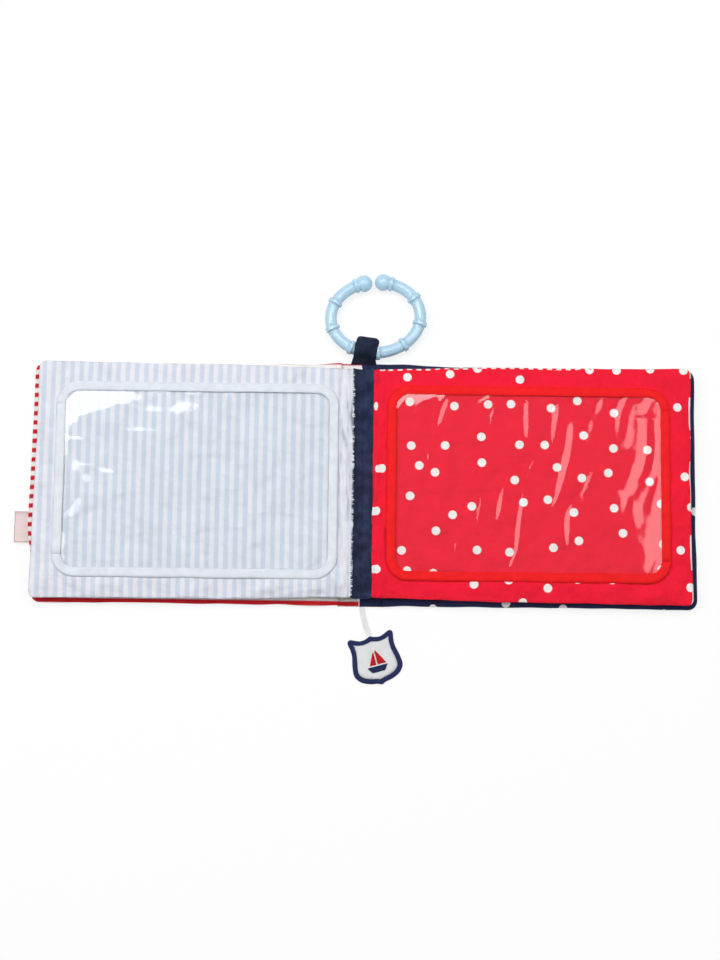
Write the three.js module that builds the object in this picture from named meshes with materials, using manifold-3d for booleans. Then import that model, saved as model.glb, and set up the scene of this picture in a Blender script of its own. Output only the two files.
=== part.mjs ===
// A padded fabric photo album, lying open on a table at its middle pages.
// Millimetres, +Z up. X runs across the open spread and Y towards the hanging ring.
// The origin is on the table, under the spine and halfway along it.
import * as THREE from "three";
import { mergeVertices } from "three/addons/utils/BufferGeometryUtils.js";
import Module from "manifold-3d";

const wasm = await Module();
wasm.setup();

// Picture pockets
const POCKET_WIDTH = 162;
const POCKET_HEIGHT = 112.5;
const POCKET_CORNER = 13;
const BINDING = 5.5; // width of the tape that shows
const BINDING_HOLD = 2.2; // outer part of the tape, which is sewn to the page
const FILM = 0.25;
const FILM_GAP = 0.2; // above and below the film
const LIP = 0.4; // tape over the film's edge

// Leaves and covers
const PAGE_PAST_MOUTH = 12.75; // page that is left bare round a pocket
const PAGE_PAST_SPINE = 7.75;
const PAGE_PAST_END = 12.25;
const LEAF_WIDTH = PAGE_PAST_SPINE + POCKET_WIDTH + PAGE_PAST_MOUTH; // spine edge to fore-edge
const LEAF_HEIGHT = POCKET_HEIGHT + 2 * PAGE_PAST_END;
const LEAF_CORNER = 4;
const LEAF_TAPER = 2.6; // how far each end of a leaf is drawn in at the spine
const TAPER_LENGTH = 70; // from the spine to where the leaf has its full height
const GUTTER = 12; // between the two leaves
const COVER_PAST_FORE = 2.5; // how far the covers stand out past the leaves
const COVER_PAST_END = 2;
const COVER_REACH = GUTTER / 2 + LEAF_WIDTH + COVER_PAST_FORE; // fold to fore-edge
const COVER_HEIGHT = LEAF_HEIGHT + 2 * COVER_PAST_END;
const COVER_CORNER = 6;
const SPINE_WIDTH = 25; // unpadded band between the two covers
const SPINE_BAND = 1.6; // its thickness
const SPINE_SEAM_X = -0.8; // where the two cover fabrics meet

// Padding
const FABRIC = 0.5;
const EDGE_ROLL = 5; // width of the rolled edge
const EDGE_RISE = 1.7; // seam to the top of the rolled edge
const CROWN = 0.8; // extra height in the middle of a panel
const DRAW_IN = 1; // how far a side is pulled in between its corners
const GAP = 0.3; // between neighbouring pieces

// Velour strip in the gutter
const STRIP_DIP = 3.5; // how far its middle sinks below its edges
const STRIP_EDGE = 1.2; // thickness at the leaves
const STRIP_FOOT = 7; // width on the cover's spine

// Fold lines
const FOLD_GAP = 0.2; // from the fold line to the surfaces that close on it

// Link ring and the ribbon loop that holds it
const RING_A = 26.1; // half axes of the oval centre line
const RING_B = 21;
const RING_X = 6.6;
const RING_TURN = 4; // degrees
const TUBE_R = 3.4;
const BALL_R = 4.95;
const BALL_SPACING = 11.3; // between the ball centres, across the gap
const COLLARS = 9;
const COLLAR_R = 4.3;
const COLLAR_WIDTH = 2.2;
const END_COLLAR = 4.8; // from a ball centre to the nearest collar
const LOOP_X = -0.4;
const LOOP_WIDTH = 13.4;
const LOOP_NARROW = 0.72; // share of its width that is left between the ring's collars
const LOOP_SHOULDER = 1.2; // seam to where it has that width
const LOOP_LEAN = 1.6; // sideways, seam to fold
const LOOP_PLY = 0.6;
const LOOP_CLEAR = 1.1; // round the ring's tube
const LOOP_BASE = 2; // thickness of its sewn end
const LOOP_LENGTH = 15; // seam to fold
const LOOP_SEAM_Z = 3;
const SEAM_TO_TUBE = 6.4; // seam to the middle of the ring's tube in the loop
const TUBE_SAG = 0.6; // from the tube's lowest point to its middle in the loop
const TUBE_SLOPE = -0.155; // of the tube in the loop, across the album
const FLOOR_GAP = 0.05;

// Ribbon and shield patch
const RIBBON_WIDTH = 3.7;
const RIBBON_LENGTH = 16;
const RIBBON_PLY = 0.6;
const RIBBON_Z = 0.8;
const RIBBON_X = 0.9;
const TAG_TURN = 15.5; // degrees
const TAG_GAP = 0.6; // between ribbon and patch, where the patch swings
const PATCH_WIDTH = 28.7;
const PATCH_HEIGHT = 28.2; // middle of its top edge to its tip
const PATCH_BORDER = 2.8;
// Half of the shield's outline, from the middle of its top edge to its tip,
// as shares of its half width and its height.
const PATCH_OUTLINE = [
  [0, 0],
  [0.16, 0.033],
  [0.39, 0.051],
  [0.62, 0.01],
  [0.78, -0.025],
  [0.9, -0.004],
  [0.925, 0.058],
  [0.884, 0.177],
  [0.884, 0.312],
  [0.964, 0.497],
  [1, 0.667],
  [0.942, 0.766],
  [0.754, 0.869],
  [0.45, 0.936],
  [0.16, 0.965],
  [0, 1],
];
const PATCH_STEPS = 72;
const PATCH_THICK = 2;
const FIELD_THICK = 1.2;
const MOTIF_THICK = 0.5;
const BOAT_WIDTH = 12;
const BOAT_DEPTH = 3.4;
const SAIL_HEIGHT = 9;
const SAIL_GAP = 0.8; // between the two sails
const DECK_DROP = 17.4; // top of the patch to the deck
const KEEL_IN = 2.4; // slope of the hull's ends
const MAIN_FOOT = 5; // lower edges of the two sails
const FORE_FOOT = 3.8;

// Woven tab on the front cover's fore-edge
const TAB_LENGTH = 19;
const TAB_REACH = 8.5;
const TAB_THICK = 1;
const TAB_Y = -26;
const TAB_GAP = 0.6; // to the cover's edge, where the tab bends

// Heights worked out from the sizes above
const PAD_RISE = GAP / 2 + EDGE_RISE + CROWN; // seam to the highest part of a page
const FILM_Z = PAD_RISE + FILM_GAP;
const LIP_Z = FILM_Z + FILM + FILM_GAP;
const POCKET_TOP = LIP_Z + LIP;
const TAPE_Z = PAD_RISE - FILM_GAP; // underside of the sewn tape
const COVER_SEAM_Z = PAD_RISE;
const LEAF_SEAM_Z = COVER_SEAM_Z + 2 * POCKET_TOP + GAP;
const SPREAD_TOP = LEAF_SEAM_Z + POCKET_TOP;
const POCKET_X = GUTTER / 2 + PAGE_PAST_SPINE + POCKET_WIDTH / 2; // fold to a pocket's middle
const RING_Z = Math.max(BALL_R, TUBE_R + LOOP_CLEAR + LOOP_PLY) + FLOOR_GAP;
const SEAM_Y = COVER_HEIGHT / 2 + GAP; // outer end of the spine, where loop and ribbon start

// The hinge lines, for whoever moves the pieces
export const FOLD_LINE_Z = SPREAD_TOP + FOLD_GAP;
export const COVER_HINGE = { x: SPINE_WIDTH / 2 + GAP / 2, z: -FOLD_GAP };
export const LOOP_HINGE = { y: SEAM_Y, z: LOOP_SEAM_Z };
export const RING_HINGE = { x: LOOP_X, y: SEAM_Y + SEAM_TO_TUBE, z: RING_Z, slope: TUBE_SLOPE };
export const TAG_HINGE = { y: -SEAM_Y, z: RIBBON_Z };
export const PATCH_HINGE = { along: RIBBON_LENGTH + TAG_GAP / 2, z: RIBBON_Z };
const TAB_FAR_SHARE = (Math.abs(TAB_Y) + TAB_LENGTH / 2) / (COVER_HEIGHT / 2 - COVER_CORNER);
const TAB_DRAWN = DRAW_IN * (1 - TAB_FAR_SHARE ** 2); // how far the cover's edge is drawn in there
export const TAB_HINGE = { x: TAB_DRAWN - COVER_REACH - TAB_GAP / 2, z: COVER_SEAM_Z };

const fabric = (color) => ({ color, roughness: 0.9, metalness: 0 });
const LOOKS = {
  blueStripe: fabric(0xd3dae8),
  redStripe: fabric(0xd9626a),
  redDots: fabric(0xf12742),
  navyDots: fabric(0x2a2f55),
  velour: fabric(0x293047),
  wadding: fabric(0xf2f0ea),
  paleTape: fabric(0xdbe1ec),
  redTape: fabric(0xf02427),
  navyTape: fabric(0x2a3566),
  whiteRibbon: fabric(0xececea),
  twill: fabric(0xe6e5e0),
  navyThread: fabric(0x2a3566),
  redThread: fabric(0xc8202c),
  tab: fabric(0xe9d9d6),
  film: { color: 0xf4f8fb, roughness: 0.08, metalness: 0, transparent: true, opacity: 0.2 },
  ring: { color: 0xb4d8ee, roughness: 0.35, metalness: 0 },
};

function piece(name, geometry, look) {
  const mesh = new THREE.Mesh(geometry, new THREE.MeshStandardMaterial(look));
  mesh.name = name;
  return mesh;
}

function group(...members) {
  const made = new THREE.Group();
  made.add(...members);
  return made;
}

// Booleans

function solidOf(geometry) {
  const bare = geometry.clone();
  bare.deleteAttribute("normal");
  bare.deleteAttribute("uv");
  const merged = mergeVertices(bare, 1e-4);
  return new wasm.Manifold(
    new wasm.Mesh({
      numProp: 3,
      vertProperties: new Float32Array(merged.attributes.position.array),
      triVerts: new Uint32Array(merged.index.array),
    }),
  );
}

function geometryOf(solid) {
  const mesh = solid.getMesh();
  const geometry = new THREE.BufferGeometry();
  geometry.setAttribute("position", new THREE.BufferAttribute(new Float32Array(mesh.vertProperties), 3));
  geometry.setIndex(new THREE.BufferAttribute(new Uint32Array(mesh.triVerts), 1));
  geometry.computeVertexNormals();
  return geometry;
}

// Padded panels

// The seam line of a panel: a rectangle with round corners and drawn-in sides, counterclockwise.
function seamLine(width, height, corner) {
  const arcSteps = 2;
  const sideSteps = { long: 6, short: 4 };
  const points = [];
  for (let quarter = 0; quarter < 4; quarter += 1) {
    const signX = quarter === 0 || quarter === 3 ? 1 : -1;
    const signY = quarter < 2 ? 1 : -1;
    const centreX = signX * (width / 2 - corner);
    const centreY = signY * (height / 2 - corner);
    for (let step = 0; step <= arcSteps; step += 1) {
      const angle = (quarter + step / arcSteps) * (Math.PI / 2);
      points.push(new THREE.Vector2(centreX + corner * Math.cos(angle), centreY + corner * Math.sin(angle)));
    }
    const along = quarter % 2 === 0;
    const steps = along ? sideSteps.long : sideSteps.short;
    for (let step = 1; step < steps; step += 1) {
      const t = 1 - (2 * step) / steps;
      const drawn = DRAW_IN * (1 - t * t);
      const x = along ? t * signX * (width / 2 - corner) : signX * (width / 2 - drawn);
      const y = along ? signY * (height / 2 - drawn) : t * signY * (height / 2 - corner);
      points.push(new THREE.Vector2(x, y));
    }
  }
  return points;
}

// The seam line again, moved inwards by inset, at one height.
function ring(line, width, height, inset, z) {
  const shareX = 1 - (2 * inset) / width;
  const shareY = 1 - (2 * inset) / height;
  return line.map((p) => new THREE.Vector3(p.x * shareX, p.y * shareY, z));
}

// A closed skin from a first point through rings of equal length to a last point.
function loft(first, rings, last) {
  const count = rings[0].length;
  const points = [first, ...rings.flat(), last];
  const end = points.length - 1;
  const index = [];
  for (let i = 0; i < count; i += 1) {
    const next = (i + 1) % count;
    index.push(0, 1 + i, 1 + next);
    for (let k = 0; k + 1 < rings.length; k += 1) {
      const a = 1 + k * count;
      const b = a + count;
      index.push(a + i, b + i, b + next, a + i, b + next, a + next);
    }
    const lastRing = end - count;
    index.push(end, lastRing + next, lastRing + i);
  }
  const geometry = new THREE.BufferGeometry().setFromPoints(points);
  geometry.setIndex(index);
  geometry.computeVertexNormals();
  return geometry;
}

// Height over the seam of a layer that lies depth inside the outer fabric.
function rise(inset, depth, halfHeight, crown) {
  const roll = Math.min(1, Math.max(0, (inset - depth) / (EDGE_ROLL - depth)));
  const rolled = (EDGE_RISE + CROWN - crown - depth) * Math.sqrt(1 - (1 - roll) ** 2);
  const inner = Math.min(1, Math.max(0, (inset - EDGE_ROLL) / (halfHeight - EDGE_ROLL)));
  return rolled + crown * Math.sin((inner * Math.PI) / 2);
}

const ROLL_STEPS = [0, 0.2, 0.55, 1];
const CROWN_STEPS = [0.25, 0.6];

// One surface of a panel, as rings from its middle out to the seam.
function surface(size, depth, crown, seamZ) {
  const half = size.height / 2;
  const insets = [
    ...ROLL_STEPS.map((share) => depth + share * (EDGE_ROLL - depth)),
    ...CROWN_STEPS.map((share) => EDGE_ROLL + share * (half - EDGE_ROLL)),
  ];
  const line = seamLine(size.width, size.height, size.corner);
  const rings = insets.map((inset) =>
    ring(line, size.width, size.height, inset, seamZ + rise(inset, depth, half, crown)),
  );
  const middle = new THREE.Vector3(0, 0, seamZ + rise(half, depth, half, crown));
  return { middle, rings: rings.reverse() };
}

// A fabric face: an open dish from its crown down to the seam.
function faceShell(size, crown) {
  const outer = surface(size, 0, crown, GAP / 2);
  const inner = surface(size, FABRIC, crown, GAP / 2);
  return loft(outer.middle, [...outer.rings, ...inner.rings.reverse()], inner.middle);
}

// The wadding between two faces.
function waddingCore(size, crownAbove, crownBelow) {
  const depth = FABRIC + GAP;
  const upper = surface(size, depth, crownAbove, GAP / 2);
  const lower = surface(size, depth, crownBelow, GAP / 2);
  const flip = (p) => new THREE.Vector3(p.x, p.y, -p.z);
  const below = lower.rings.reverse().map((points) => points.map(flip));
  return loft(upper.middle, [...upper.rings, ...below], flip(lower.middle));
}

// A panel of two faces sewn together round their wadding, with its seam at z = 0.
function panel(names, looks, size, crownBelow) {
  const above = piece(names.above, faceShell(size, CROWN), looks.above);
  const below = piece(names.below, faceShell(size, crownBelow), looks.below);
  below.rotation.x = Math.PI;
  const core = piece(names.core, waddingCore(size, CROWN, crownBelow), LOOKS.wadding);
  return group(above, below, core);
}

// Picture pockets

function roundedRectangle(width, height, corner) {
  const x = width / 2 - corner;
  const y = height / 2 - corner;
  const shape = new THREE.Shape();
  shape.absarc(x, y, corner, 0, Math.PI / 2);
  shape.absarc(-x, y, corner, Math.PI / 2, Math.PI);
  shape.absarc(-x, -y, corner, Math.PI, 1.5 * Math.PI);
  shape.absarc(x, -y, corner, 1.5 * Math.PI, 2 * Math.PI);
  return shape;
}

const pocketOutline = (inset) =>
  roundedRectangle(POCKET_WIDTH - 2 * inset, POCKET_HEIGHT - 2 * inset, POCKET_CORNER - inset);

function plate(shape, z, thickness) {
  const options = { depth: thickness, bevelEnabled: false, curveSegments: 4 };
  return new THREE.ExtrudeGeometry(shape, options).translate(0, 0, z);
}

function frame(innerInset, z, thickness) {
  const shape = pocketOutline(0);
  shape.holes.push(pocketOutline(innerInset));
  return solidOf(plate(shape, z, thickness));
}

// A pocket in the frame of its page, which faces +Z, with its mouth towards +X.
function pocket(prefix, tapeLook) {
  const film = plate(pocketOutline(BINDING_HOLD + GAP), FILM_Z, FILM);
  const sewn = frame(BINDING_HOLD, TAPE_Z, POCKET_TOP - TAPE_Z);
  const tape = sewn.add(frame(BINDING, LIP_Z, LIP));
  const mouthLength = POCKET_HEIGHT - 2 * POCKET_CORNER;
  const mouthBox = (length) => {
    const box = new THREE.BoxGeometry(2 * (BINDING + GAP), length, 2 * POCKET_TOP);
    return solidOf(box.translate(POCKET_WIDTH / 2, 0, POCKET_TOP));
  };
  const binding = tape.subtract(mouthBox(mouthLength));
  const mouth = tape.intersect(mouthBox(mouthLength - 2 * GAP));
  return group(
    piece(`${prefix}_window`, film, LOOKS.film),
    piece(`${prefix}_binding`, geometryOf(binding), tapeLook),
    piece(`${prefix}_mouth_tape`, geometryOf(mouth), tapeLook),
  );
}

// One side of the album. side is 1 for the right-hand half and -1 for the left.

function pocketsOn(side, seamZ, pages) {
  return pages.map(({ prefix, tape, under }) => {
    const made = pocket(prefix, tape);
    made.position.set(POCKET_X, 0, seamZ);
    made.rotation.x = under ? Math.PI : 0;
    const placed = group(made);
    placed.rotation.z = side > 0 ? 0 : Math.PI;
    return placed;
  });
}

// Narrows a leaf towards the spine, where its ends are gathered into the seam.
function gatherAtSpine(mesh, side) {
  const position = mesh.geometry.attributes.position;
  for (let i = 0; i < position.count; i += 1) {
    const fromSpine = LEAF_WIDTH / 2 + side * position.getX(i);
    const near = Math.max(0, 1 - fromSpine / TAPER_LENGTH);
    const share = 1 - (2 * LEAF_TAPER * near) / LEAF_HEIGHT;
    position.setY(i, position.getY(i) * share);
  }
  mesh.geometry.computeVertexNormals();
}

function leaf(side, name, looks, tapes) {
  const size = { width: LEAF_WIDTH, height: LEAF_HEIGHT, corner: LEAF_CORNER };
  const centreX = (GUTTER + LEAF_WIDTH) / 2;
  const names = { above: `${name}_face`, below: `${name}_back`, core: `${name}_wadding` };
  const pad = panel(names, looks, size, CROWN);
  pad.children.forEach((mesh) => gatherAtSpine(mesh, side));
  pad.position.set(side * centreX, 0, LEAF_SEAM_Z);
  const pages = [
    { prefix: `${name}_face`, tape: tapes.above, under: false },
    { prefix: `${name}_back`, tape: tapes.below, under: true },
  ];
  return group(pad, ...pocketsOn(side, LEAF_SEAM_Z, pages));
}

function cover(side, name, look, tape) {
  const inner = SPINE_WIDTH / 2 + GAP;
  const size = { width: COVER_REACH - inner, height: COVER_HEIGHT, corner: COVER_CORNER };
  const names = { above: `${name}_lining`, below: `${name}_outer`, core: `${name}_wadding` };
  const pad = panel(names, { above: look, below: look }, size, 0);
  pad.position.set(side * (inner + size.width / 2), 0, COVER_SEAM_Z);
  const pages = [{ prefix: name, tape, under: false }];
  return group(pad, ...pocketsOn(side, COVER_SEAM_Z, pages));
}

// Spine

function spineBand(name, fromX, toX, look) {
  const width = toX - fromX;
  const geometry = new THREE.BoxGeometry(width, COVER_HEIGHT, SPINE_BAND);
  const mesh = piece(name, geometry, look);
  mesh.position.set(fromX + width / 2, 0, SPINE_BAND / 2);
  return mesh;
}

// The velour strip with the seam allowances under it, as a gusset between the leaves.
function spineStrip() {
  const half = GUTTER / 2 - GAP;
  const edgeTop = LEAF_SEAM_Z + STRIP_EDGE / 2;
  const edgeBottom = LEAF_SEAM_Z - STRIP_EDGE / 2;
  const foot = SPINE_BAND + GAP;
  const section = new THREE.Shape();
  section.moveTo(-STRIP_FOOT / 2, foot);
  section.lineTo(STRIP_FOOT / 2, foot);
  section.lineTo(half, edgeBottom);
  section.lineTo(half, edgeTop);
  section.quadraticCurveTo(0, edgeTop - 2 * STRIP_DIP, -half, edgeTop);
  section.lineTo(-half, edgeBottom);
  section.closePath();
  const options = { depth: LEAF_HEIGHT, bevelEnabled: false, curveSegments: 8 };
  const mesh = piece("spine_strip", new THREE.ExtrudeGeometry(section, options), LOOKS.velour);
  mesh.rotation.x = Math.PI / 2;
  mesh.position.y = LEAF_HEIGHT / 2;
  return mesh;
}

function spine() {
  const edge = SPINE_WIDTH / 2;
  return group(
    spineBand("spine_band_front", -edge, SPINE_SEAM_X - GAP, LOOKS.redStripe),
    spineBand("spine_band_back", SPINE_SEAM_X, edge, LOOKS.navyDots),
    spineStrip(),
  );
}

// Link ring

const RING_SIDES = 10;
const STEPS_BETWEEN_COLLARS = 4;

// Half section of the straightened ring: ball ends and collars on a round tube.
function ringProfile(length) {
  const join = Math.sqrt(BALL_R ** 2 - TUBE_R ** 2);
  const ball = [-90, -50, -10, 25].map((degrees) => {
    const angle = THREE.MathUtils.degToRad(degrees);
    return new THREE.Vector2(BALL_R * Math.cos(angle), BALL_R * Math.sin(angle));
  });
  ball[0].x = 0;
  const start = [...ball, new THREE.Vector2(TUBE_R, join)];
  const finish = start.map((p) => new THREE.Vector2(p.x, length - p.y)).reverse();
  const pitch = (length - 2 * END_COLLAR) / (COLLARS - 1);
  const slope = (COLLAR_R - TUBE_R) / 2;
  const middle = [];
  for (let i = 0; i < COLLARS; i += 1) {
    const at = END_COLLAR + i * pitch;
    middle.push(new THREE.Vector2(TUBE_R, at - COLLAR_WIDTH / 2));
    middle.push(new THREE.Vector2(COLLAR_R, at - COLLAR_WIDTH / 2 + slope));
    middle.push(new THREE.Vector2(COLLAR_R, at + COLLAR_WIDTH / 2 - slope));
    middle.push(new THREE.Vector2(TUBE_R, at + COLLAR_WIDTH / 2));
    for (let step = 1; i + 1 < COLLARS && step < STEPS_BETWEEN_COLLARS; step += 1) {
      middle.push(new THREE.Vector2(TUBE_R, at + (pitch * step) / STEPS_BETWEEN_COLLARS));
    }
  }
  return [...start, ...middle, ...finish];
}

function linkRing() {
  const open = Math.asin(BALL_SPACING / 2 / RING_A);
  const oval = new THREE.EllipseCurve(0, 0, RING_A, RING_B, Math.PI / 2 + open, 2.5 * Math.PI - open);
  const length = oval.getLength();
  const geometry = new THREE.LatheGeometry(ringProfile(length), RING_SIDES);
  const position = geometry.attributes.position;
  for (let i = 0; i < position.count; i += 1) {
    const along = position.getY(i);
    const share = THREE.MathUtils.clamp(along / length, 0, 1);
    const past = along - share * length;
    const at = oval.getPointAt(share);
    const way = oval.getTangentAt(share);
    const out = position.getX(i);
    const x = at.x + way.x * past + way.y * out;
    const y = at.y + way.y * past - way.x * out;
    position.setXYZ(i, x, y, position.getZ(i));
  }
  const mesh = piece("link_ring", geometryOf(solidOf(geometry)), LOOKS.ring);
  mesh.rotation.z = THREE.MathUtils.degToRad(RING_TURN);
  mesh.position.set(RING_X, RING_HINGE.y - TUBE_SAG + RING_B, RING_Z);
  return mesh;
}

const LOOP_STEPS = 28;
const LOOP_CLOSING = 0.9; // share of its height that is left halfway from the tube to the fold

// The ribbon loop, as a band round the ring's tube that narrows and leans from its seam to its fold,
// and slopes with the tube.
function hangingLoop() {
  const tubeY = SEAM_TO_TUBE;
  const tubeZ = RING_Z - LOOP_SEAM_Z;
  const radius = TUBE_R + LOOP_CLEAR;
  const outline = (room, start) => {
    const reach = radius + room;
    const fold = LOOP_LENGTH - LOOP_PLY + room;
    const closing = LOOP_CLOSING * reach;
    const end = reach / 2;
    const diagonal = reach * Math.SQRT1_2;
    const round = [
      [tubeY - diagonal, tubeZ - diagonal],
      [tubeY, tubeZ - reach],
      [(tubeY + fold) / 2, tubeZ - closing],
      [fold - end / 2, tubeZ - end],
      [fold, tubeZ],
      [fold - end / 2, tubeZ + end],
      [(tubeY + fold) / 2, tubeZ + closing],
      [tubeY, tubeZ + reach],
      [tubeY - diagonal, tubeZ + diagonal],
    ];
    const points = [...start.slice(0, 1), ...round, ...start.slice(1)];
    return new THREE.SplineCurve(points.map(([y, z]) => new THREE.Vector2(y, z))).getPoints(LOOP_STEPS);
  };
  const sewnEnd = [
    [0, -LOOP_BASE / 2],
    [0, LOOP_BASE / 2],
  ];
  const band = new THREE.Shape(outline(LOOP_PLY, sewnEnd));
  band.holes.push(new THREE.Path(outline(0, [[tubeY - radius, tubeZ]])));
  const geometry = new THREE.ExtrudeGeometry(band, { depth: LOOP_WIDTH, bevelEnabled: false });
  geometry.translate(0, 0, -LOOP_WIDTH / 2);
  const position = geometry.attributes.position;
  for (let i = 0; i < position.count; i += 1) {
    const y = position.getX(i);
    const free = Math.min(1, y / LOOP_SHOULDER);
    const narrow = 1 - (1 - LOOP_NARROW) * free;
    const x = position.getZ(i) * narrow + (LOOP_LEAN * y) / LOOP_LENGTH;
    position.setXYZ(i, x, y + TUBE_SLOPE * x * free, position.getY(i));
  }
  const mesh = piece("hanging_loop", geometryOf(solidOf(geometry)), LOOKS.velour);
  mesh.position.set(LOOP_X, SEAM_Y, LOOP_SEAM_Z);
  return mesh;
}

// Ribbon and patch

function outlineOf(points) {
  return new THREE.Shape(points.map(([x, y]) => new THREE.Vector2(x, y)));
}

// A shield with a scalloped top, reaching down from y = 0, inset on every side.
function shield(inset) {
  const side = (sign) =>
    PATCH_OUTLINE.map(([x, y]) => new THREE.Vector3((sign * x * PATCH_WIDTH) / 2, -y * PATCH_HEIGHT, 0));
  const left = side(-1);
  const right = side(1).slice(1, -1).reverse();
  const curve = new THREE.CatmullRomCurve3([...left, ...right], true);
  const points = curve.getSpacedPoints(PATCH_STEPS).slice(0, -1);
  const outline = new wasm.CrossSection([points.map((p) => [p.x, p.y])]);
  const [inner] = outline.offset(-inset, "Round").simplify(0.02).toPolygons();
  return outlineOf(inner);
}

// A plain sailing boat in raised thread.
function boat(z) {
  const half = BOAT_WIDTH / 2;
  const keel = -DECK_DROP - BOAT_DEPTH;
  const foot = SAIL_GAP - DECK_DROP;
  const head = foot + SAIL_HEIGHT;
  const mast = SAIL_GAP / 2;
  const hull = outlineOf([
    [-half, -DECK_DROP],
    [KEEL_IN - half, keel],
    [half - KEEL_IN, keel],
    [half, -DECK_DROP],
  ]);
  const mainSail = outlineOf([
    [mast, foot],
    [mast + MAIN_FOOT, foot],
    [mast, head],
  ]);
  const foreSail = outlineOf([
    [-mast, foot],
    [-mast, head - SAIL_GAP],
    [-mast - FORE_FOOT, foot],
  ]);
  return [
    piece("motif_hull", plate(hull, z, MOTIF_THICK), LOOKS.navyThread),
    piece("motif_main_sail", plate(mainSail, z, MOTIF_THICK), LOOKS.redThread),
    piece("motif_fore_sail", plate(foreSail, z, MOTIF_THICK), LOOKS.redThread),
  ];
}

function tag() {
  const ribbonBox = new THREE.BoxGeometry(RIBBON_WIDTH, RIBBON_LENGTH, RIBBON_PLY);
  const ribbon = piece("tag_ribbon", ribbonBox.translate(0, -RIBBON_LENGTH / 2, 0), LOOKS.whiteRibbon);
  ribbon.position.z = RIBBON_Z;
  const rim = shield(0);
  rim.holes.push(shield(PATCH_BORDER));
  const fieldZ = (PATCH_THICK - FIELD_THICK) / 2;
  const patch = group(
    piece("patch_border", plate(rim, 0, PATCH_THICK), LOOKS.navyThread),
    piece("patch_field", plate(shield(PATCH_BORDER + GAP), fieldZ, FIELD_THICK), LOOKS.twill),
    ...boat(fieldZ + FIELD_THICK + GAP),
  );
  patch.position.y = -RIBBON_LENGTH - TAG_GAP;
  const hung = group(ribbon, patch);
  hung.rotation.z = THREE.MathUtils.degToRad(TAG_TURN);
  hung.position.set(RIBBON_X, -SEAM_Y - (RIBBON_WIDTH / 2) * Math.sin(hung.rotation.z), 0);
  return hung;
}

// The folded tab, with its round fold at the outer end.
function edgeTab() {
  const section = new THREE.Shape();
  const r = TAB_THICK / 2;
  section.moveTo(0, -r);
  section.lineTo(0, r);
  section.lineTo(-TAB_REACH + r, r);
  section.absarc(-TAB_REACH + r, 0, r, Math.PI / 2, 1.5 * Math.PI);
  section.closePath();
  const options = { depth: TAB_LENGTH, bevelEnabled: false, curveSegments: 6 };
  const mesh = piece("edge_tab", new THREE.ExtrudeGeometry(section, options), LOOKS.tab);
  mesh.rotation.x = Math.PI / 2;
  mesh.position.set(TAB_HINGE.x - TAB_GAP / 2, TAB_Y + TAB_LENGTH / 2, COVER_SEAM_Z);
  return mesh;
}

const album = group(
  spine(),
  leaf(
    -1,
    "left_leaf",
    { above: LOOKS.blueStripe, below: LOOKS.blueStripe },
    { above: LOOKS.paleTape, below: LOOKS.paleTape },
  ),
  leaf(
    1,
    "right_leaf",
    { above: LOOKS.redDots, below: LOOKS.redStripe },
    { above: LOOKS.redTape, below: LOOKS.redTape },
  ),
  cover(-1, "front_cover", LOOKS.redStripe, LOOKS.redTape),
  cover(1, "back_cover", LOOKS.navyDots, LOOKS.navyTape),
  hangingLoop(),
  linkRing(),
  tag(),
  edgeTab(),
);

export default album;
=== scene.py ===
"""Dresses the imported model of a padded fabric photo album, which lies open at its middle pages."""
import math

import bmesh
import bpy
import numpy as np
from mathutils import Matrix, Vector, noise


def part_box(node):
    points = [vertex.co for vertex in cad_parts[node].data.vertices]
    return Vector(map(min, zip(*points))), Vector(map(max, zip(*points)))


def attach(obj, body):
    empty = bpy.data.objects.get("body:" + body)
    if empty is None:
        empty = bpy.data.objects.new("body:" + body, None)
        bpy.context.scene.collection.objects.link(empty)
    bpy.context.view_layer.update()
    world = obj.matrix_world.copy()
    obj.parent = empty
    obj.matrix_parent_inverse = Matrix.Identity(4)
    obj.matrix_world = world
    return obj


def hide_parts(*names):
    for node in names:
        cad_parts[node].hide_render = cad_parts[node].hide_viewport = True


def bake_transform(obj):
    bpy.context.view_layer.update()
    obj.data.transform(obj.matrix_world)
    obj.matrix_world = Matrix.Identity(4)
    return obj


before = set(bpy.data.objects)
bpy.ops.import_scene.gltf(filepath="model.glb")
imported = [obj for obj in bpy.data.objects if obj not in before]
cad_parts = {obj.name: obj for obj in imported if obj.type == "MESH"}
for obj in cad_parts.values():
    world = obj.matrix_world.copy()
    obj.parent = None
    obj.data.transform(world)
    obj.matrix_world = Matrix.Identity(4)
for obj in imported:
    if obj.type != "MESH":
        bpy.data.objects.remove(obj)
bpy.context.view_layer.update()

bl_info = {
    "name": "Fabric photo album",
    "version": (1, 0, 0),
    "blender": (4, 5, 0),
    "location": "3D View > Sidebar > Album",
    "description": "Makes the fabrics, pockets, ring, loop, tag and stage of a padded photo album",
    "category": "Object",
}

MM = 0.001

# Heights of the seams round a leaf and round a cover
LEAF_SEAM_Z = (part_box("left_leaf_face")[0].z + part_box("left_leaf_back")[1].z) / 2
COVER_SEAM_Z = (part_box("front_cover_lining")[0].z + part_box("front_cover_outer")[1].z) / 2

# Padded panels
EDGE_RISE = 1.85 * MM
CROWN = 0.8 * MM
LEAF_CORNER = 4 * MM
COVER_CORNER = 6 * MM
LEAF_TAPER = 2.6 * MM
TAPER_LENGTH = 70 * MM

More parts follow.
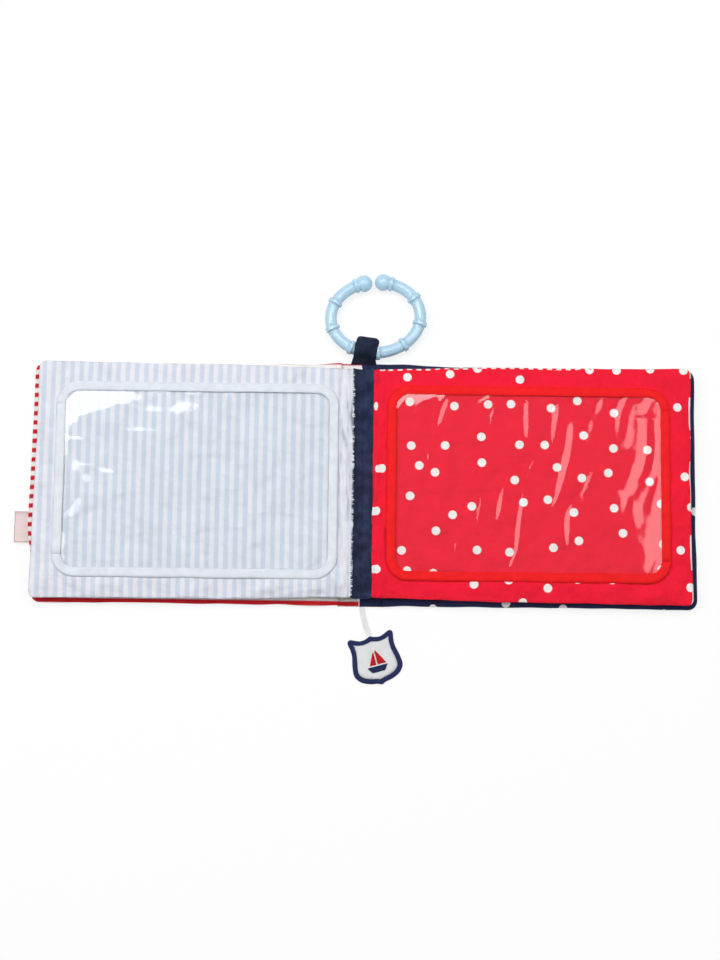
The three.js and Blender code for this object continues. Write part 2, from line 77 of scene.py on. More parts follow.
# Picture pockets
POCKET_WIDTH = 162 * MM
POCKET_HEIGHT = 112.5 * MM
POCKET_CORNER = 13 * MM
POCKET_X = 94.75 * MM
POCKET_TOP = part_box("left_leaf_face_binding")[1].z - LEAF_SEAM_Z
FILM_Z = (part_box("left_leaf_face_window")[0].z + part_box("left_leaf_face_window")[1].z) / 2 - LEAF_SEAM_Z
FILM_INSET = 2.5 * MM
FILM_ROOM = 0.75 * MM
FILM_SAG = 0.15 * MM
MOUTH_HALF = POCKET_HEIGHT / 2 - POCKET_CORNER + 0.6 * MM

# Link ring
RING_A = 26.1 * MM
RING_B = 21 * MM
RING_CENTRE = Vector((6.6 * MM, 97.6 * MM, 5.15 * MM))
RING_TURN = math.radians(4)
TUBE_R = 3.4 * MM
BALL_R = 4.95 * MM
BALL_SPACING = 11.3 * MM
COLLARS = 9
COLLAR_R = 4.3 * MM
END_COLLAR = 4.8 * MM

# Ribbon and shield patch
TAG_TURN = math.radians(15.5)
TAG_PLACE = Vector((0.9 * MM, -71.294 * MM, 0))
PATCH_DROP = 16.6 * MM
PATCH_WIDTH = 28.7 * MM
PATCH_HEIGHT = 28.2 * MM
PATCH_BORDER = 3 * MM
PATCH_OUTLINE = [
    (0, 0), (0.16, 0.033), (0.39, 0.051), (0.62, 0.01), (0.78, -0.025), (0.9, -0.004),
    (0.925, 0.058), (0.884, 0.177), (0.884, 0.312), (0.964, 0.497), (1, 0.667), (0.942, 0.766),
    (0.754, 0.869), (0.45, 0.936), (0.16, 0.965), (0, 1),
]


def linear(code):
    """An sRGB hex colour as linear red, green and blue."""
    parts = [int(code[i:i + 2], 16) / 255 for i in (1, 3, 5)]
    return [p / 12.92 if p <= 0.04045 else ((p + 0.055) / 1.055) ** 2.4 for p in parts]


def colour(name, description, code):
    """A colour that a user may change."""
    return bpy.props.FloatVectorProperty(
        name=name, description=description, default=linear(code), subtype="COLOR", size=3, min=0, max=1
    )


def length(name, description, millimetres):
    """A size that a user may change."""
    return bpy.props.FloatProperty(
        name=name, description=description, default=millimetres * MM, unit="LENGTH", precision=5, min=0
    )


class AlbumColours(bpy.types.PropertyGroup):
    """Colours of the album's fabrics, tapes and plastic"""

    blue_stripe: colour("Blue stripe", "Pale blue stripe of the left page", "#D2DAE9")
    white_stripe: colour("White stripe", "White stripe of the left page", "#E9E9F1")
    red_page: colour("Red page", "Ground of the right page", "#F41C37")
    red_stripe: colour("Red stripe", "Red stripe of the front cover", "#D01C28")
    navy: colour("Navy cotton", "Ground of the back cover", "#262B4E")
    dot_white: colour("White print", "White dots and white stripes", "#F6F2F0")
    velour: colour("Velour", "Velour of the spine", "#252C44")
    # The spine's velour, painted darker for the shade on the loop.
    loop: colour("Loop", "Velour of the hanging loop", "#1C2335")
    pale_tape: colour("Pale tape", "Binding of the left page", "#E3E8F1")
    red_tape: colour("Red tape", "Binding of the right page", "#F41A1E")
    navy_tape: colour("Navy tape", "Binding inside the back cover", "#2A3566")
    ring: colour("Ring", "Moulded link ring", "#B3D8EE")
    ribbon: colour("Ribbon", "Ribbon of the tag", "#ECECEA")
    twill: colour("Twill", "Field of the patch", "#E2E3E4")
    navy_thread: colour("Navy thread", "Border and hull on the patch", "#26305C")
    red_thread: colour("Red thread", "Sails on the patch", "#D0202C")
    tab: colour("Tab", "Woven tab on the front cover", "#E9D5D2")
    tab_fold: colour("Tab fold", "Line along the fold of the woven tab", "#8E2A35")


class AlbumSizes(bpy.types.PropertyGroup):
    """Sizes of the album's prints, stitches and folds"""

    blue_pitch: length("Blue stripe pitch", "One pale blue and one white stripe of the left page", 5.33)
    red_pitch: length("Red stripe pitch", "One red and one white stripe of the front cover", 5.385)
    dot_spacing: length("Dot spacing", "Typical distance between the printed dots", 20)
    dot_size: length("Dot size", "Diameter of a printed dot", 4.9)
    weave: length("Weave", "Thread spacing that is drawn on the cottons", 1.1)
    pucker: length("Pucker", "Height of the gathers along a seam", 0.8)
    film_wave: length("Film wave", "Height of the waves in the clear film", 0.45)
    film_thickness: length("Film thickness", "Thickness of the clear film", 0.25)
    stitch: length("Stitch", "Length of a stitch on the tapes", 1.7)
    stitch_gap: length("Stitch spacing", "Distance from stitch to stitch", 2.4)
    overlock_gap: length("Overlock spacing", "Distance between the threads of the patch border", 0.62)


# Small helpers


def make_piece(name, points, faces, materials, face_slots=None):
    """A smooth mesh object at the origin with its faces turned outwards."""
    mesh = bpy.data.meshes.new(name)
    mesh.from_pydata([tuple(p) for p in points], [], faces)
    for material in materials:
        mesh.materials.append(material)
    if face_slots is not None:
        mesh.polygons.foreach_set("material_index", face_slots)
    work = bmesh.new()
    work.from_mesh(mesh)
    bmesh.ops.recalc_face_normals(work, faces=work.faces)
    work.to_mesh(mesh)
    work.free()
    mesh.shade_smooth()
    return link_object(name, mesh)


def link_object(name, data):
    """A new object in the scene."""
    made = bpy.data.objects.new(name, data)
    bpy.context.scene.collection.objects.link(made)
    return made


def soften(piece):
    """One live subdivision."""
    modifier = piece.modifiers.new("Soften", "SUBSURF")
    modifier.levels = 1
    modifier.render_levels = 1


def place_on(piece, body, slot, *nodes):
    """Rides the piece on its body and hides the solids that it stands for. The name of its finish, slot, is
    not used.
    """
    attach(piece, body)
    if nodes:
        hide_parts(*nodes)


def wander(x, y, seed):
    """Smooth noise from -1 to 1 at one point."""
    return noise.noise(Vector((x, y, seed)))


wander_all = np.vectorize(wander, otypes=[float])


def ripple(u, v, across, along, seed):
    """Smooth noise from -1 to 1 over a grid, with waves of so many millimetres across and along."""
    return wander_all(u / (across * MM), v / (along * MM), seed)


def ramp(value, reach):
    """Rises from 0 to 1 over the reach, and stays there."""
    return np.clip(value / reach, 0, 1)


def distance_along(path):
    """How far along a path each of its points lies."""
    return np.concatenate([[0], np.cumsum(np.linalg.norm(np.diff(path, axis=0), axis=1))])


def quads(rows, columns, first=0):
    """Faces of a grid of points, row after row."""
    made = []
    for j in range(rows - 1):
        for i in range(columns - 1):
            a = first + j * columns + i
            made.append((a, a + 1, a + columns + 1, a + columns))
    return made


def thick_sheet(grid, thickness):
    """Points and faces of a closed sheet round a grid of middle points."""
    rows, columns, _ = grid.shape
    normal = np.cross(np.gradient(grid, axis=1), np.gradient(grid, axis=0))
    normal /= np.linalg.norm(normal, axis=2, keepdims=True)
    above = (grid + normal * thickness / 2).reshape(-1, 3)
    below = (grid - normal * thickness / 2).reshape(-1, 3)
    count = rows * columns
    faces = quads(rows, columns) + [face[::-1] for face in quads(rows, columns, count)]
    rim = list(range(columns))
    rim += [j * columns + columns - 1 for j in range(1, rows)]
    rim += [(rows - 1) * columns + i for i in range(columns - 2, -1, -1)]
    rim += [j * columns for j in range(rows - 2, 0, -1)]
    for here, there in zip(rim, rim[1:] + rim[:1]):
        faces.append((there, here, here + count, there + count))
    return np.concatenate([above, below]), faces


def loft(rings, around, closed=False):
    """Faces between rings of points, ring after ring. Closed joins the last ring to the first."""
    faces = []
    for k in range(rings if closed else rings - 1):
        n = (k + 1) % rings
        for i in range(around):
            j = (i + 1) % around
            faces.append((k * around + i, k * around + j, n * around + j, n * around + i))
    return faces


def tube(rings, around):
    """Faces of a tube through rings of points, with its two ends closed."""
    first = tuple(range(around))
    last = tuple((rings - 1) * around + i for i in first)
    return [*loft(rings, around), first[::-1], last]


# Materials

# Scale of a wave texture whose bands are 1 m apart
WAVE = math.pi / 10
# Most of a noise lies in this range, and a wave is cut to a stripe by it
MIDDLE = {"From Min": 0.3, "From Max": 0.7}
COLOUR_MIX = {"data_type": "RGBA"}
COLOUR_PRODUCT = {"data_type": "RGBA", "blend_type": "MULTIPLY"}

# Upright folds of the cotton where it is gathered on to the spine
GATHER_START = 18 * MM
GATHER_FULL = 7 * MM
GATHER_WIDTH = 5 * MM
GATHER_LENGTH = 26 * MM
GATHER_PULL = 2.2 * MM


def add(tree, kind, inputs=(), **settings):
    """Adds a node, sets it, and sets or links its inputs, which are named or numbered.

    A node that is given as an input stands for its first output in use.
    """
    made = tree.nodes.new(kind)
    for key, value in settings.items():
        setattr(made, key, value)
    for key, value in dict(inputs).items():
        if isinstance(value, bpy.types.Node):
            value = next(socket for socket in value.outputs if socket.enabled)
        if isinstance(value, bpy.types.NodeSocket):
            tree.links.new(value, made.inputs[key])
        else:
            made.inputs[key].default_value = value
    return made


def new_material(name):
    """An empty material, its node tree and the place on the piece, in metres."""
    material = bpy.data.materials.new(name)
    material.use_nodes = True
    tree = material.node_tree
    tree.nodes.clear()
    return material, tree, add(tree, "ShaderNodeTexCoord").outputs["Object"]


def finish_material(material, shader):
    """Shows the shader on the material, and gives the material back."""
    add(material.node_tree, "ShaderNodeOutputMaterial", {"Surface": shader})
    return material


def rgba(values):
    """A colour that covers fully."""
    return (*values, 1)


WHITE = rgba(linear("#FFFFFF"))


def mottled(tree, base, patches, least):
    """A colour or the colour from a node, darkened unevenly down to its least share."""
    shade = add(tree, "ShaderNodeMapRange", {"Value": patches, **MIDDLE, "To Min": least, "To Max": 1.0})
    return add(tree, "ShaderNodeMix", {0: 1.0, 6: base, 7: shade}, **COLOUR_PRODUCT)


def stripes(tree, place, pitch, centre, along):
    """1 on the printed stripe and 0 between, with a stripe's middle at centre."""
    phase = (math.pi - 2 * math.pi * centre / pitch) % (2 * math.pi)
    bands = {"Vector": place, "Scale": WAVE / pitch, "Phase Offset": phase}
    wave = add(tree, "ShaderNodeTexWave", bands, bands_direction=along)
    return add(tree, "ShaderNodeMapRange", {"Value": wave.outputs["Fac"], **MIDDLE})


def drawn_in(tree, place):
    """Place on the flat cloth, nearness to the spine that it is gathered on to, and height of the folds."""
    split = add(tree, "ShaderNodeSeparateXYZ", {"Vector": place}).outputs
    away = add(tree, "ShaderNodeMath", {0: split["X"]}, operation="ABSOLUTE")
    near = {"Value": away, "From Min": GATHER_START, "From Max": GATHER_FULL}
    near = add(tree, "ShaderNodeMapRange", near)
    tall = {"Vector": place, "Scale": (1 / GATHER_WIDTH, 1 / GATHER_LENGTH, 0)}
    tall = add(tree, "ShaderNodeMapping", tall)
    folds = add(tree, "ShaderNodeTexNoise", {"Vector": tall, "Scale": 1.0, "Detail": 1.0})
    pull = {"Value": folds, **MIDDLE, "To Min": -GATHER_PULL, "To Max": GATHER_PULL}
    pull = add(tree, "ShaderNodeMapRange", pull)
    moved = add(tree, "ShaderNodeMath", {0: pull, 1: near, 2: split["X"]}, operation="MULTIPLY_ADD")
    flat = add(tree, "ShaderNodeCombineXYZ", {"X": moved, "Y": split["Y"], "Z": split["Z"]})
    height = add(tree, "ShaderNodeMath", {0: folds, 1: near}, operation="MULTIPLY")
    return flat, near, height


def dots(tree, place, spacing, size):
    """1 on scattered round dots and 0 between."""
    scatter = {"Vector": place, "Scale": 1 / spacing, "Randomness": 0.62}
    cells = add(tree, "ShaderNodeTexVoronoi", scatter, voronoi_dimensions="2D")
    radius = size / 2 / spacing
    edge = {"From Min": radius * 0.94, "From Max": radius * 1.06, "To Min": 1.0, "To Max": 0.0}
    return add(tree, "ShaderNodeMapRange", {"Value": cells, **edge})


def cotton(name, ground, printed, pattern, sizes, faded):
    """Plain-woven printed cotton: matt, with crossed threads, soft creases and slightly uneven dye.

    It is gathered on to the spine in upright folds, and its print fades there by the share that is given.
    """
    material, tree, place = new_material(name)
    flat, near, folds = drawn_in(tree, place)
    kept = add(tree, "ShaderNodeMapRange", {"Value": near, "To Min": 1.0, "To Max": 1.0 - faded})
    ink = add(tree, "ShaderNodeMath", {0: pattern(tree, flat), 1: kept}, operation="MULTIPLY")
    base = add(tree, "ShaderNodeMix", {0: ink, 6: rgba(ground), 7: rgba(printed)}, **COLOUR_MIX)
    uneven = add(tree, "ShaderNodeTexNoise", {"Vector": place, "Scale": 1 / (9 * MM), "Detail": 3.0})
    # The threads are about 0.3 mm apart; they are drawn coarser, so that they show.
    threads = {"Vector": place, "Scale": WAVE / sizes.weave, "Distortion": 0.6}
    warp = add(tree, "ShaderNodeTexWave", threads).outputs["Fac"]
    weft = add(tree, "ShaderNodeTexWave", threads, bands_direction="Y").outputs["Fac"]
    woven = add(tree, "ShaderNodeMath", {0: warp, 1: weft}, operation="MULTIPLY")
    crease = add(tree, "ShaderNodeTexNoise", {"Vector": place, "Scale": 1 / (14 * MM), "Detail": 2.0})
    deep = add(tree, "ShaderNodeBump", {"Height": folds, "Strength": 0.9, "Distance": (4 + 6 * faded) * MM})
    fine = {"Height": woven, "Strength": 0.6, "Distance": 0.2 * MM, "Normal": deep}
    fine = add(tree, "ShaderNodeBump", fine)
    soft = {"Height": crease, "Strength": 1.0, "Distance": 4.5 * MM, "Normal": fine}
    finish = {
        "Base Color": mottled(tree, base, uneven, 0.93),
        "Roughness": 0.85,
        "Specular IOR Level": 0.15,
        "Sheen Weight": 0.03,
        "Sheen Roughness": 0.5,
        "Normal": add(tree, "ShaderNodeBump", soft),
    }
    return finish_material(material, add(tree, "ShaderNodeBsdfPrincipled", finish))


def velour(name, base_colour):
    """Knitted velour: a short upright pile, its colour painted darker where it stands and lighter, as painted
    sheen, where it leans in random patches.
    """
    material, tree, place = new_material(name)
    brushed = add(tree, "ShaderNodeTexNoise", {"Vector": place, "Scale": 1 / (7 * MM), "Detail": 4.0})
    painted_sheen_share = add(tree, "ShaderNodeMapRange", {"Value": brushed, "From Min": 0.35, "From Max": 0.75})
    # Painted sheen: the pile's random patches are painted darker and lighter, for the light that the leaning
    # pile catches.
    upright = rgba([c * 0.8 for c in base_colour])
    leaning = rgba([min(1, c * 1.9 + 0.006) for c in base_colour])
    # Single pile hairs are far too fine to show; tufts of about 0.9 mm stand for them.
    pile = add(tree, "ShaderNodeTexNoise", {"Vector": place, "Scale": 1 / (0.9 * MM), "Detail": 2.0})
    rough = {"Height": pile, "Strength": 0.6, "Distance": 0.35 * MM}
    finish = {
        "Base Color": add(tree, "ShaderNodeMix", {0: painted_sheen_share, 6: upright, 7: leaning}, **COLOUR_MIX),
        "Roughness": 0.95,
        "Specular IOR Level": 0.1,
        "Sheen Weight": 0.35,
        "Sheen Roughness": 0.35,
        "Sheen Tint": rgba(linear("#A0B3E1")),
        "Normal": add(tree, "ShaderNodeBump", rough),
    }
    return finish_material(material, add(tree, "ShaderNodeBsdfPrincipled", finish))


def tape(name, base_colour, sheen):
    """Woven cotton tape or thread: fine diagonal ribs, a little gloss on the yarn."""
    material, tree, place = new_material(name)
    turned = add(tree, "ShaderNodeMapping", {"Vector": place, "Rotation": (0, 0, math.radians(45))})
    # Ribs of about 0.4 mm, drawn twice as coarse.
    rib = {"Vector": turned, "Scale": WAVE / (0.9 * MM), "Distortion": 0.8}
    rib = add(tree, "ShaderNodeTexWave", rib).outputs["Fac"]
    uneven = add(tree, "ShaderNodeTexNoise", {"Vector": place, "Scale": 1 / (5 * MM), "Detail": 3.0})
    finish = {
        "Base Color": mottled(tree, rgba(base_colour), uneven, 0.9),
        "Roughness": 0.7,
        "Specular IOR Level": 0.15,
        "Sheen Weight": sheen,
        "Sheen Roughness": 0.4,
        "Normal": add(tree, "ShaderNodeBump", {"Height": rib, "Strength": 0.3, "Distance": 0.12 * MM}),
    }
    return finish_material(material, add(tree, "ShaderNodeBsdfPrincipled", finish))


def clear_vinyl(name):
    """Soft clear PVC film: see-through with a faint grey, and bright crisp reflections on its waves."""
    material, tree, place = new_material(name)
    skin = add(tree, "ShaderNodeTexNoise", {"Vector": place, "Scale": 1 / (6 * MM), "Detail": 1.0})
    wavy = add(tree, "ShaderNodeBump", {"Height": skin, "Strength": 0.25, "Distance": 0.12 * MM})
    through = add(tree, "ShaderNodeBsdfTransparent", {"Color": rgba(linear("#FEFFFF"))})
    shine = add(tree, "ShaderNodeBsdfAnisotropic", {"Roughness": 0.05, "Normal": wavy})
    part = add(tree, "ShaderNodeFresnel", {"IOR": 1.53, "Normal": wavy})
    # The outer face shines for both, and the film holds back no light from the page.
    inside = add(tree, "ShaderNodeNewGeometry").outputs["Backfacing"]
    lit = add(tree, "ShaderNodeLightPath").outputs["Is Shadow Ray"]
    hidden = add(tree, "ShaderNodeMath", {0: inside, 1: lit}, operation="MAXIMUM")
    outside = add(tree, "ShaderNodeMath", {0: 1.0, 1: hidden}, operation="SUBTRACT")
    stronger = add(tree, "ShaderNodeMath", {0: part, 1: 1.25}, operation="MULTIPLY")
    share = add(tree, "ShaderNodeMath", {0: stronger, 1: outside}, operation="MULTIPLY", use_clamp=True)
    return finish_material(material, add(tree, "ShaderNodeMixShader", {0: share, 1: through, 2: shine}))


def ring_plastic(name, base_colour):
    """Injection-moulded polypropylene: smooth, even, with thin bright highlights and faint flow marks."""
    material, tree, place = new_material(name)
    flow = add(tree, "ShaderNodeTexNoise", {"Vector": place, "Scale": 1 / (12 * MM), "Detail": 2.0})
    rough = {"Value": flow, **MIDDLE, "To Min": 0.14, "To Max": 0.22}
    finish = {
        "Base Color": mottled(tree, rgba(base_colour), flow, 0.95),
        "Roughness": add(tree, "ShaderNodeMapRange", rough),
        "IOR": 1.49,
        "Specular IOR Level": 0.7,
    }
    return finish_material(material, add(tree, "ShaderNodeBsdfPrincipled", finish))


def woven_tab(name, ground, line):
    """Damask-woven label: fine cross ribs, bare, with a maroon line along its fold, and painted shade along
    its selvedge, where its ground is painted darker.
    """
    material, tree, place = new_material(name)
    split = add(tree, "ShaderNodeSeparateXYZ", {"Vector": place}).outputs
    low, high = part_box("edge_tab")
    fold = {"Value": split["X"], "From Min": low.x + 0.75 * MM, "From Max": low.x + 0.45 * MM}
    fold = add(tree, "ShaderNodeMapRange", fold)
    selvedge = {"Value": split["Y"], "From Min": high.y - 4.4 * MM, "From Max": high.y - 2.2 * MM}
    selvedge = add(tree, "ShaderNodeMapRange", selvedge)
    # Ribs of about 0.3 mm, drawn coarser.
    rib = {"Vector": place, "Scale": WAVE / (0.8 * MM), "Distortion": 0.4}
    rib = add(tree, "ShaderNodeTexWave", rib, bands_direction="Y").outputs["Fac"]
    shade = add(tree, "ShaderNodeMapRange", {"Value": rib, "To Min": 0.88, "To Max": 1.0})
    # Painted shade: the ground is painted darker along the selvedge.
    selvedge_painted_shade = [0.72 * c for c in ground]
    base = add(tree, "ShaderNodeMix", {0: selvedge, 6: rgba(ground), 7: rgba(selvedge_painted_shade)}, **COLOUR_MIX)
    base = add(tree, "ShaderNodeMix", {0: fold, 6: base, 7: rgba(line)}, **COLOUR_MIX)
    finish = {
        "Base Color": add(tree, "ShaderNodeMix", {0: 1.0, 6: base, 7: shade}, **COLOUR_PRODUCT),
        "Roughness": 0.6,
        "Specular IOR Level": 0.3,
        "Normal": add(tree, "ShaderNodeBump", {"Height": rib, "Strength": 0.4, "Distance": 0.1 * MM}),
    }
    return finish_material(material, add(tree, "ShaderNodeBsdfPrincipled", finish))


def seen_ray(tree):
    """1 for a ray that shows a thing, straight, mirrored or through film, and 0 for one that lights it."""
    path = add(tree, "ShaderNodeLightPath").outputs
    shown = {0: path["Is Camera Ray"], 1: path["Is Glossy Ray"]}
    shown = add(tree, "ShaderNodeMath", shown, operation="MAXIMUM")
    return add(tree, "ShaderNodeMath", {0: shown, 1: path["Is Transmission Ray"]}, operation="MAXIMUM")


def paper_floor(name):
    """White paper sweep: shows white to the camera and keeps a faint shadow."""
    material, tree, place = new_material(name)
    tooth = add(tree, "ShaderNodeTexNoise", {"Vector": place, "Scale": 1 / (3 * MM)})
    grain = add(tree, "ShaderNodeMapRange", {"Value": tooth, "To Min": 0.97, "To Max": 1.0})
    paper = add(tree, "ShaderNodeBsdfDiffuse", {"Color": grain})
    white = add(tree, "ShaderNodeEmission", {"Color": WHITE, "Strength": 1.0})
    share = add(tree, "ShaderNodeMath", {0: seen_ray(tree), 1: 0.8}, operation="MULTIPLY")
    return finish_material(material, add(tree, "ShaderNodeMixShader", {0: share, 1: paper, 2: white}))


LOOKS = {}


def make_looks(scene):
    """All the materials, by a short name."""
    tint = scene.album_colours
    size = scene.album_sizes

    def across(pitch, centre, along):
        return lambda tree, place: stripes(tree, place, pitch, centre, along)

    def scattered(shift):
        def pattern(tree, place):
            moved = add(tree, "ShaderNodeMapping", {"Vector": place, "Location": (shift * MM, 0, 0)})
            return dots(tree, moved, size.dot_spacing, size.dot_size)

        return pattern

    blue = across(size.blue_pitch, -61 * MM, "X")
    red_rows = across(size.red_pitch, 71 * MM, "Y")
    red_columns = across(size.red_pitch, 29.1 * MM, "X")
    striped = "red and white striped cotton"
    # The fold has no dots, because they would be drawn out to streaks when the album is closed.
    cottons = (
        ("blue_stripe", "blue and white striped cotton", tint.white_stripe, tint.blue_stripe, blue, 0.55),
        ("red_rows", striped, tint.dot_white, tint.red_stripe, red_rows, 0.0),
        ("red_columns", f"{striped}, upright", tint.dot_white, tint.red_page, red_columns, 0.0),
        ("red_dots", "red dotted cotton", tint.red_page, tint.dot_white, scattered(0), 0.0),
        ("navy_dots", "navy dotted cotton", tint.navy, tint.dot_white, scattered(9), 0.0),
        ("navy_fold", "navy cotton at the fold", tint.navy, tint.navy, scattered(9), 0.0),
    )
    for key, name, ground, printed, pattern, faded in cottons:
        LOOKS[key] = cotton(name, ground, printed, pattern, size, faded)
    LOOKS["velour"] = velour("navy velour", tint.velour)
    # The loop is the spine's velour with painted shade, in a darker colour.
    LOOKS["loop"] = velour("navy velour with painted shade", tint.loop)
    sewn = (
        ("pale_tape", tint.pale_tape, 0.04),
        ("red_tape", tint.red_tape, 0.02),
        ("navy_tape", tint.navy_tape, 0.05),
        ("white_ribbon", tint.ribbon, 0.2),
        ("patch_twill", tint.twill, 0.1),
        ("navy_thread", tint.navy_thread, 0.15),
        ("red_thread", tint.red_thread, 0.1),
    )
    for key, dye, sheen in sewn:
        LOOKS[key] = tape(key.replace("_", " "), dye, sheen)
    LOOKS["vinyl"] = clear_vinyl("clear soft vinyl")
    LOOKS["ring"] = ring_plastic("moulded blue plastic", tint.ring)
    LOOKS["tab"] = woven_tab("woven label", tint.tab, tint.tab_fold)


# Stage

FLOOR_HALF = 4.0
FLOOR_DROP = 0.2 * MM
# Strength of the white surroundings: for lighting, and shown overhead
EVEN_LIGHT = 0.21
DIM_OVERHEAD = 0.3
# Place and size in metres, and power in watts
SOFTBOXES = (
    ((-0.86, 0.1, 1.3), (0.6, 0.9), 8.0),
    ((0.74, 0.1, 1.3), (0.55, 0.74), 5.2),
    ((-0.15, 0.525, 1.35), (1.1, 0.36), 9.2),
)
CAMERA_LENS = 65.8
CAMERA_SENSOR = 36
CAMERA_LEAN = math.radians(8)
CAMERA_ROLL = math.radians(0.75)
CAMERA_TARGET = Vector((-1.3 * MM, 0.85 * MM, 13 * MM))


class ALBUM_OT_stage(bpy.types.Operator):
    """Makes the floor, the soft light, the white surroundings and the camera"""

    bl_idname = "album.stage"
    bl_label = "Stage"

    def execute(self, context):
        scene = context.scene
        scene.view_settings.view_transform = "Standard"
        square = ((-1, -1), (1, -1), (1, 1), (-1, 1))
        corners = [(x * FLOOR_HALF, y * FLOOR_HALF, -FLOOR_DROP) for x, y in square]
        floor = make_piece("floor", corners, [(0, 1, 2, 3)], [paper_floor("white paper")])
        self.light_world(scene)
        for place, size, power in SOFTBOXES:
            self.softbox(Vector(place), size, power)
        self.aim_camera(scene)
        return {"FINISHED"}

    def light_world(self, scene):
        """White towards the horizon, dim overhead where only reflections look, and even soft light."""
        world = bpy.data.worlds.new("studio")
        scene.world = world
        world.use_nodes = True
        tree = world.node_tree
        tree.nodes.clear()
        way = add(tree, "ShaderNodeTexCoord").outputs["Generated"]
        up = add(tree, "ShaderNodeSeparateXYZ", {"Vector": way}).outputs["Z"]
        dome = {"Value": up, "From Min": 0.6, "From Max": 0.9, "To Min": 1.0, "To Max": DIM_OVERHEAD}
        dome = add(tree, "ShaderNodeMapRange", dome)
        strength = {"Value": seen_ray(tree), "To Min": EVEN_LIGHT, "To Max": dome}
        strength = add(tree, "ShaderNodeMapRange", strength)
        background = add(tree, "ShaderNodeBackground", {"Color": WHITE, "Strength": strength})
        add(tree, "ShaderNodeOutputWorld", {"Surface": background})

    def softbox(self, place, size, power):
        """A rectangular light that faces the album."""
        lamp = bpy.data.lights.new("softbox", "AREA")
        lamp.shape = "RECTANGLE"
        lamp.size, lamp.size_y = size
        lamp.energy = power
        made = link_object("softbox", lamp)
        made.location = place
        made.rotation_euler = (-place).to_track_quat("-Z", "Y").to_euler()

    def aim_camera(self, scene):
        """Nearly overhead, leaning towards the tag, as the photograph was taken."""
        lens = bpy.data.cameras.new("camera")
        lens.lens = CAMERA_LENS
        lens.sensor_width = CAMERA_SENSOR
        made = link_object("camera", lens)
        made.location = CAMERA_TARGET + Vector((0, -math.sin(CAMERA_LEAN), math.cos(CAMERA_LEAN)))
        roll = Matrix.Rotation(CAMERA_ROLL, 4, "Z")
        made.rotation_euler = (Matrix.Rotation(CAMERA_LEAN, 4, "X") @ roll).to_euler()
        scene.camera = made


# Padded panels

CELL = 3.5 * MM
SEAM_CREASE = 0.55
PAD_ROOM = 3.7 * MM
ON_TABLE = 0.02 * MM
# How far in the seam's waves are felt, how high they are, and where a cover has slipped fully under
EDGE_FADE = 12 * MM
SEAM_WAVE = 0.35 * MM
TUCK_LENGTH = 45 * MM
# The left leaf's fore-edge lies in at its head, and the front cover's below its tab
HEAD_LEAN = 1.7 * MM
FOOT_SLIP = 3.4 * MM
# How far the simulation may move the fabric: under a pocket, more in the margins, and on the table
HELD_MOVE = 0.1 * MM
FREE_MOVE = 0.5 * MM
TABLE_MOVE = 0.05 * MM
# The part of its height that a fabric keeps over the seam between two puckers
KEPT_HEIGHT = 0.3
CLOTH_FRAMES = 20
CLOTH = {
    "quality": 5,
    "mass": 0.15,
    "vertex_group_mass": "seam",
    "tension_stiffness": 12,
    "compression_stiffness": 12,
    "shear_stiffness": 5,
    "bending_stiffness": 0.05,
    "use_pressure": True,
    "uniform_pressure_force": 4,
    "shrink_min": -0.025,
}


def even_steps(count):
    """Steps from -1 to 1 that are closer together at the ends."""
    t = np.linspace(-1, 1, count + 1)
    return t * (1.4 - 0.4 * t * t)


def round_corners(x, y, width, height, corner):
    """Moves a rectangle's grid into round corners. Gives x, y and the distance in from the edge."""
    a = ramp(np.abs(x) - width / 2 + corner, corner)
    b = ramp(np.abs(y) - height / 2 + corner, corner)
    inside = (a > 0) & (b > 0)
    a_round = np.where(inside, a * np.sqrt(1 - b * b / 2), a)
    b_round = np.where(inside, b * np.sqrt(1 - a * a / 2), b)
    new_x = np.where(a > 0, np.sign(x) * (width / 2 - corner + corner * a_round), x)
    new_y = np.where(b > 0, np.sign(y) * (height / 2 - corner + corner * b_round), y)
    straight = np.minimum(width / 2 - np.abs(new_x), height / 2 - np.abs(new_y))
    inset = np.where(inside, corner * (1 - np.hypot(a_round, b_round)), straight)
    return new_x, new_y, np.maximum(inset, 0)


def rise(inset, crown, half, reach):
    """Height of a padded face over its seam, which it comes up from within its reach."""
    roll = ramp(inset, reach)
    inner = ramp(inset - reach, half - reach)
    return (EDGE_RISE + CROWN - crown) * np.sqrt(1 - (1 - roll) ** 2) + crown * np.sin(inner * math.pi / 2)


def inflate(piece, seam, cap):
    """Blows the padding up between its pinned seams by cloth simulation, so that slack fabric wrinkles."""
    scene = bpy.context.scene
    count = len(piece.data.vertices)
    before = np.empty(count * 3)
    piece.data.vertices.foreach_get("co", before)
    before = before.reshape(-1, 3)
    held = piece.vertex_groups.new(name="seam")
    held.add([int(i) for i in seam], 1.0, "REPLACE")
    cloth = piece.modifiers.new("Cloth", "CLOTH")
    for key, value in CLOTH.items():
        setattr(cloth.settings, key, value)
    cloth.settings.effector_weights.gravity = 0
    cloth.collision_settings.use_collision = False
    cloth.point_cache.frame_start = 1
    cloth.point_cache.frame_end = CLOTH_FRAMES
    for step in range(CLOTH_FRAMES):
        scene.frame_set(step + 1)
    shown = piece.evaluated_get(bpy.context.evaluated_depsgraph_get())
    after = np.empty(count * 3)
    shown.data.vertices.foreach_get("co", after)
    piece.modifiers.remove(cloth)
    piece.vertex_groups.remove(held)
    scene.frame_set(1)
    move = after.reshape(-1, 3) - before
    far = np.linalg.norm(move, axis=1, keepdims=True)
    move *= np.minimum(1, cap[:, None] / np.maximum(far, 1e-9))
    piece.data.vertices.foreach_set("co", (before + move).ravel())
    piece.data.update()


def leaf_lean(t):
    """How far in the left leaf's fore-edge lies, from its foot at -1 to its head at 1."""
    return HEAD_LEAN * ramp(t + 0.4, 1.4)


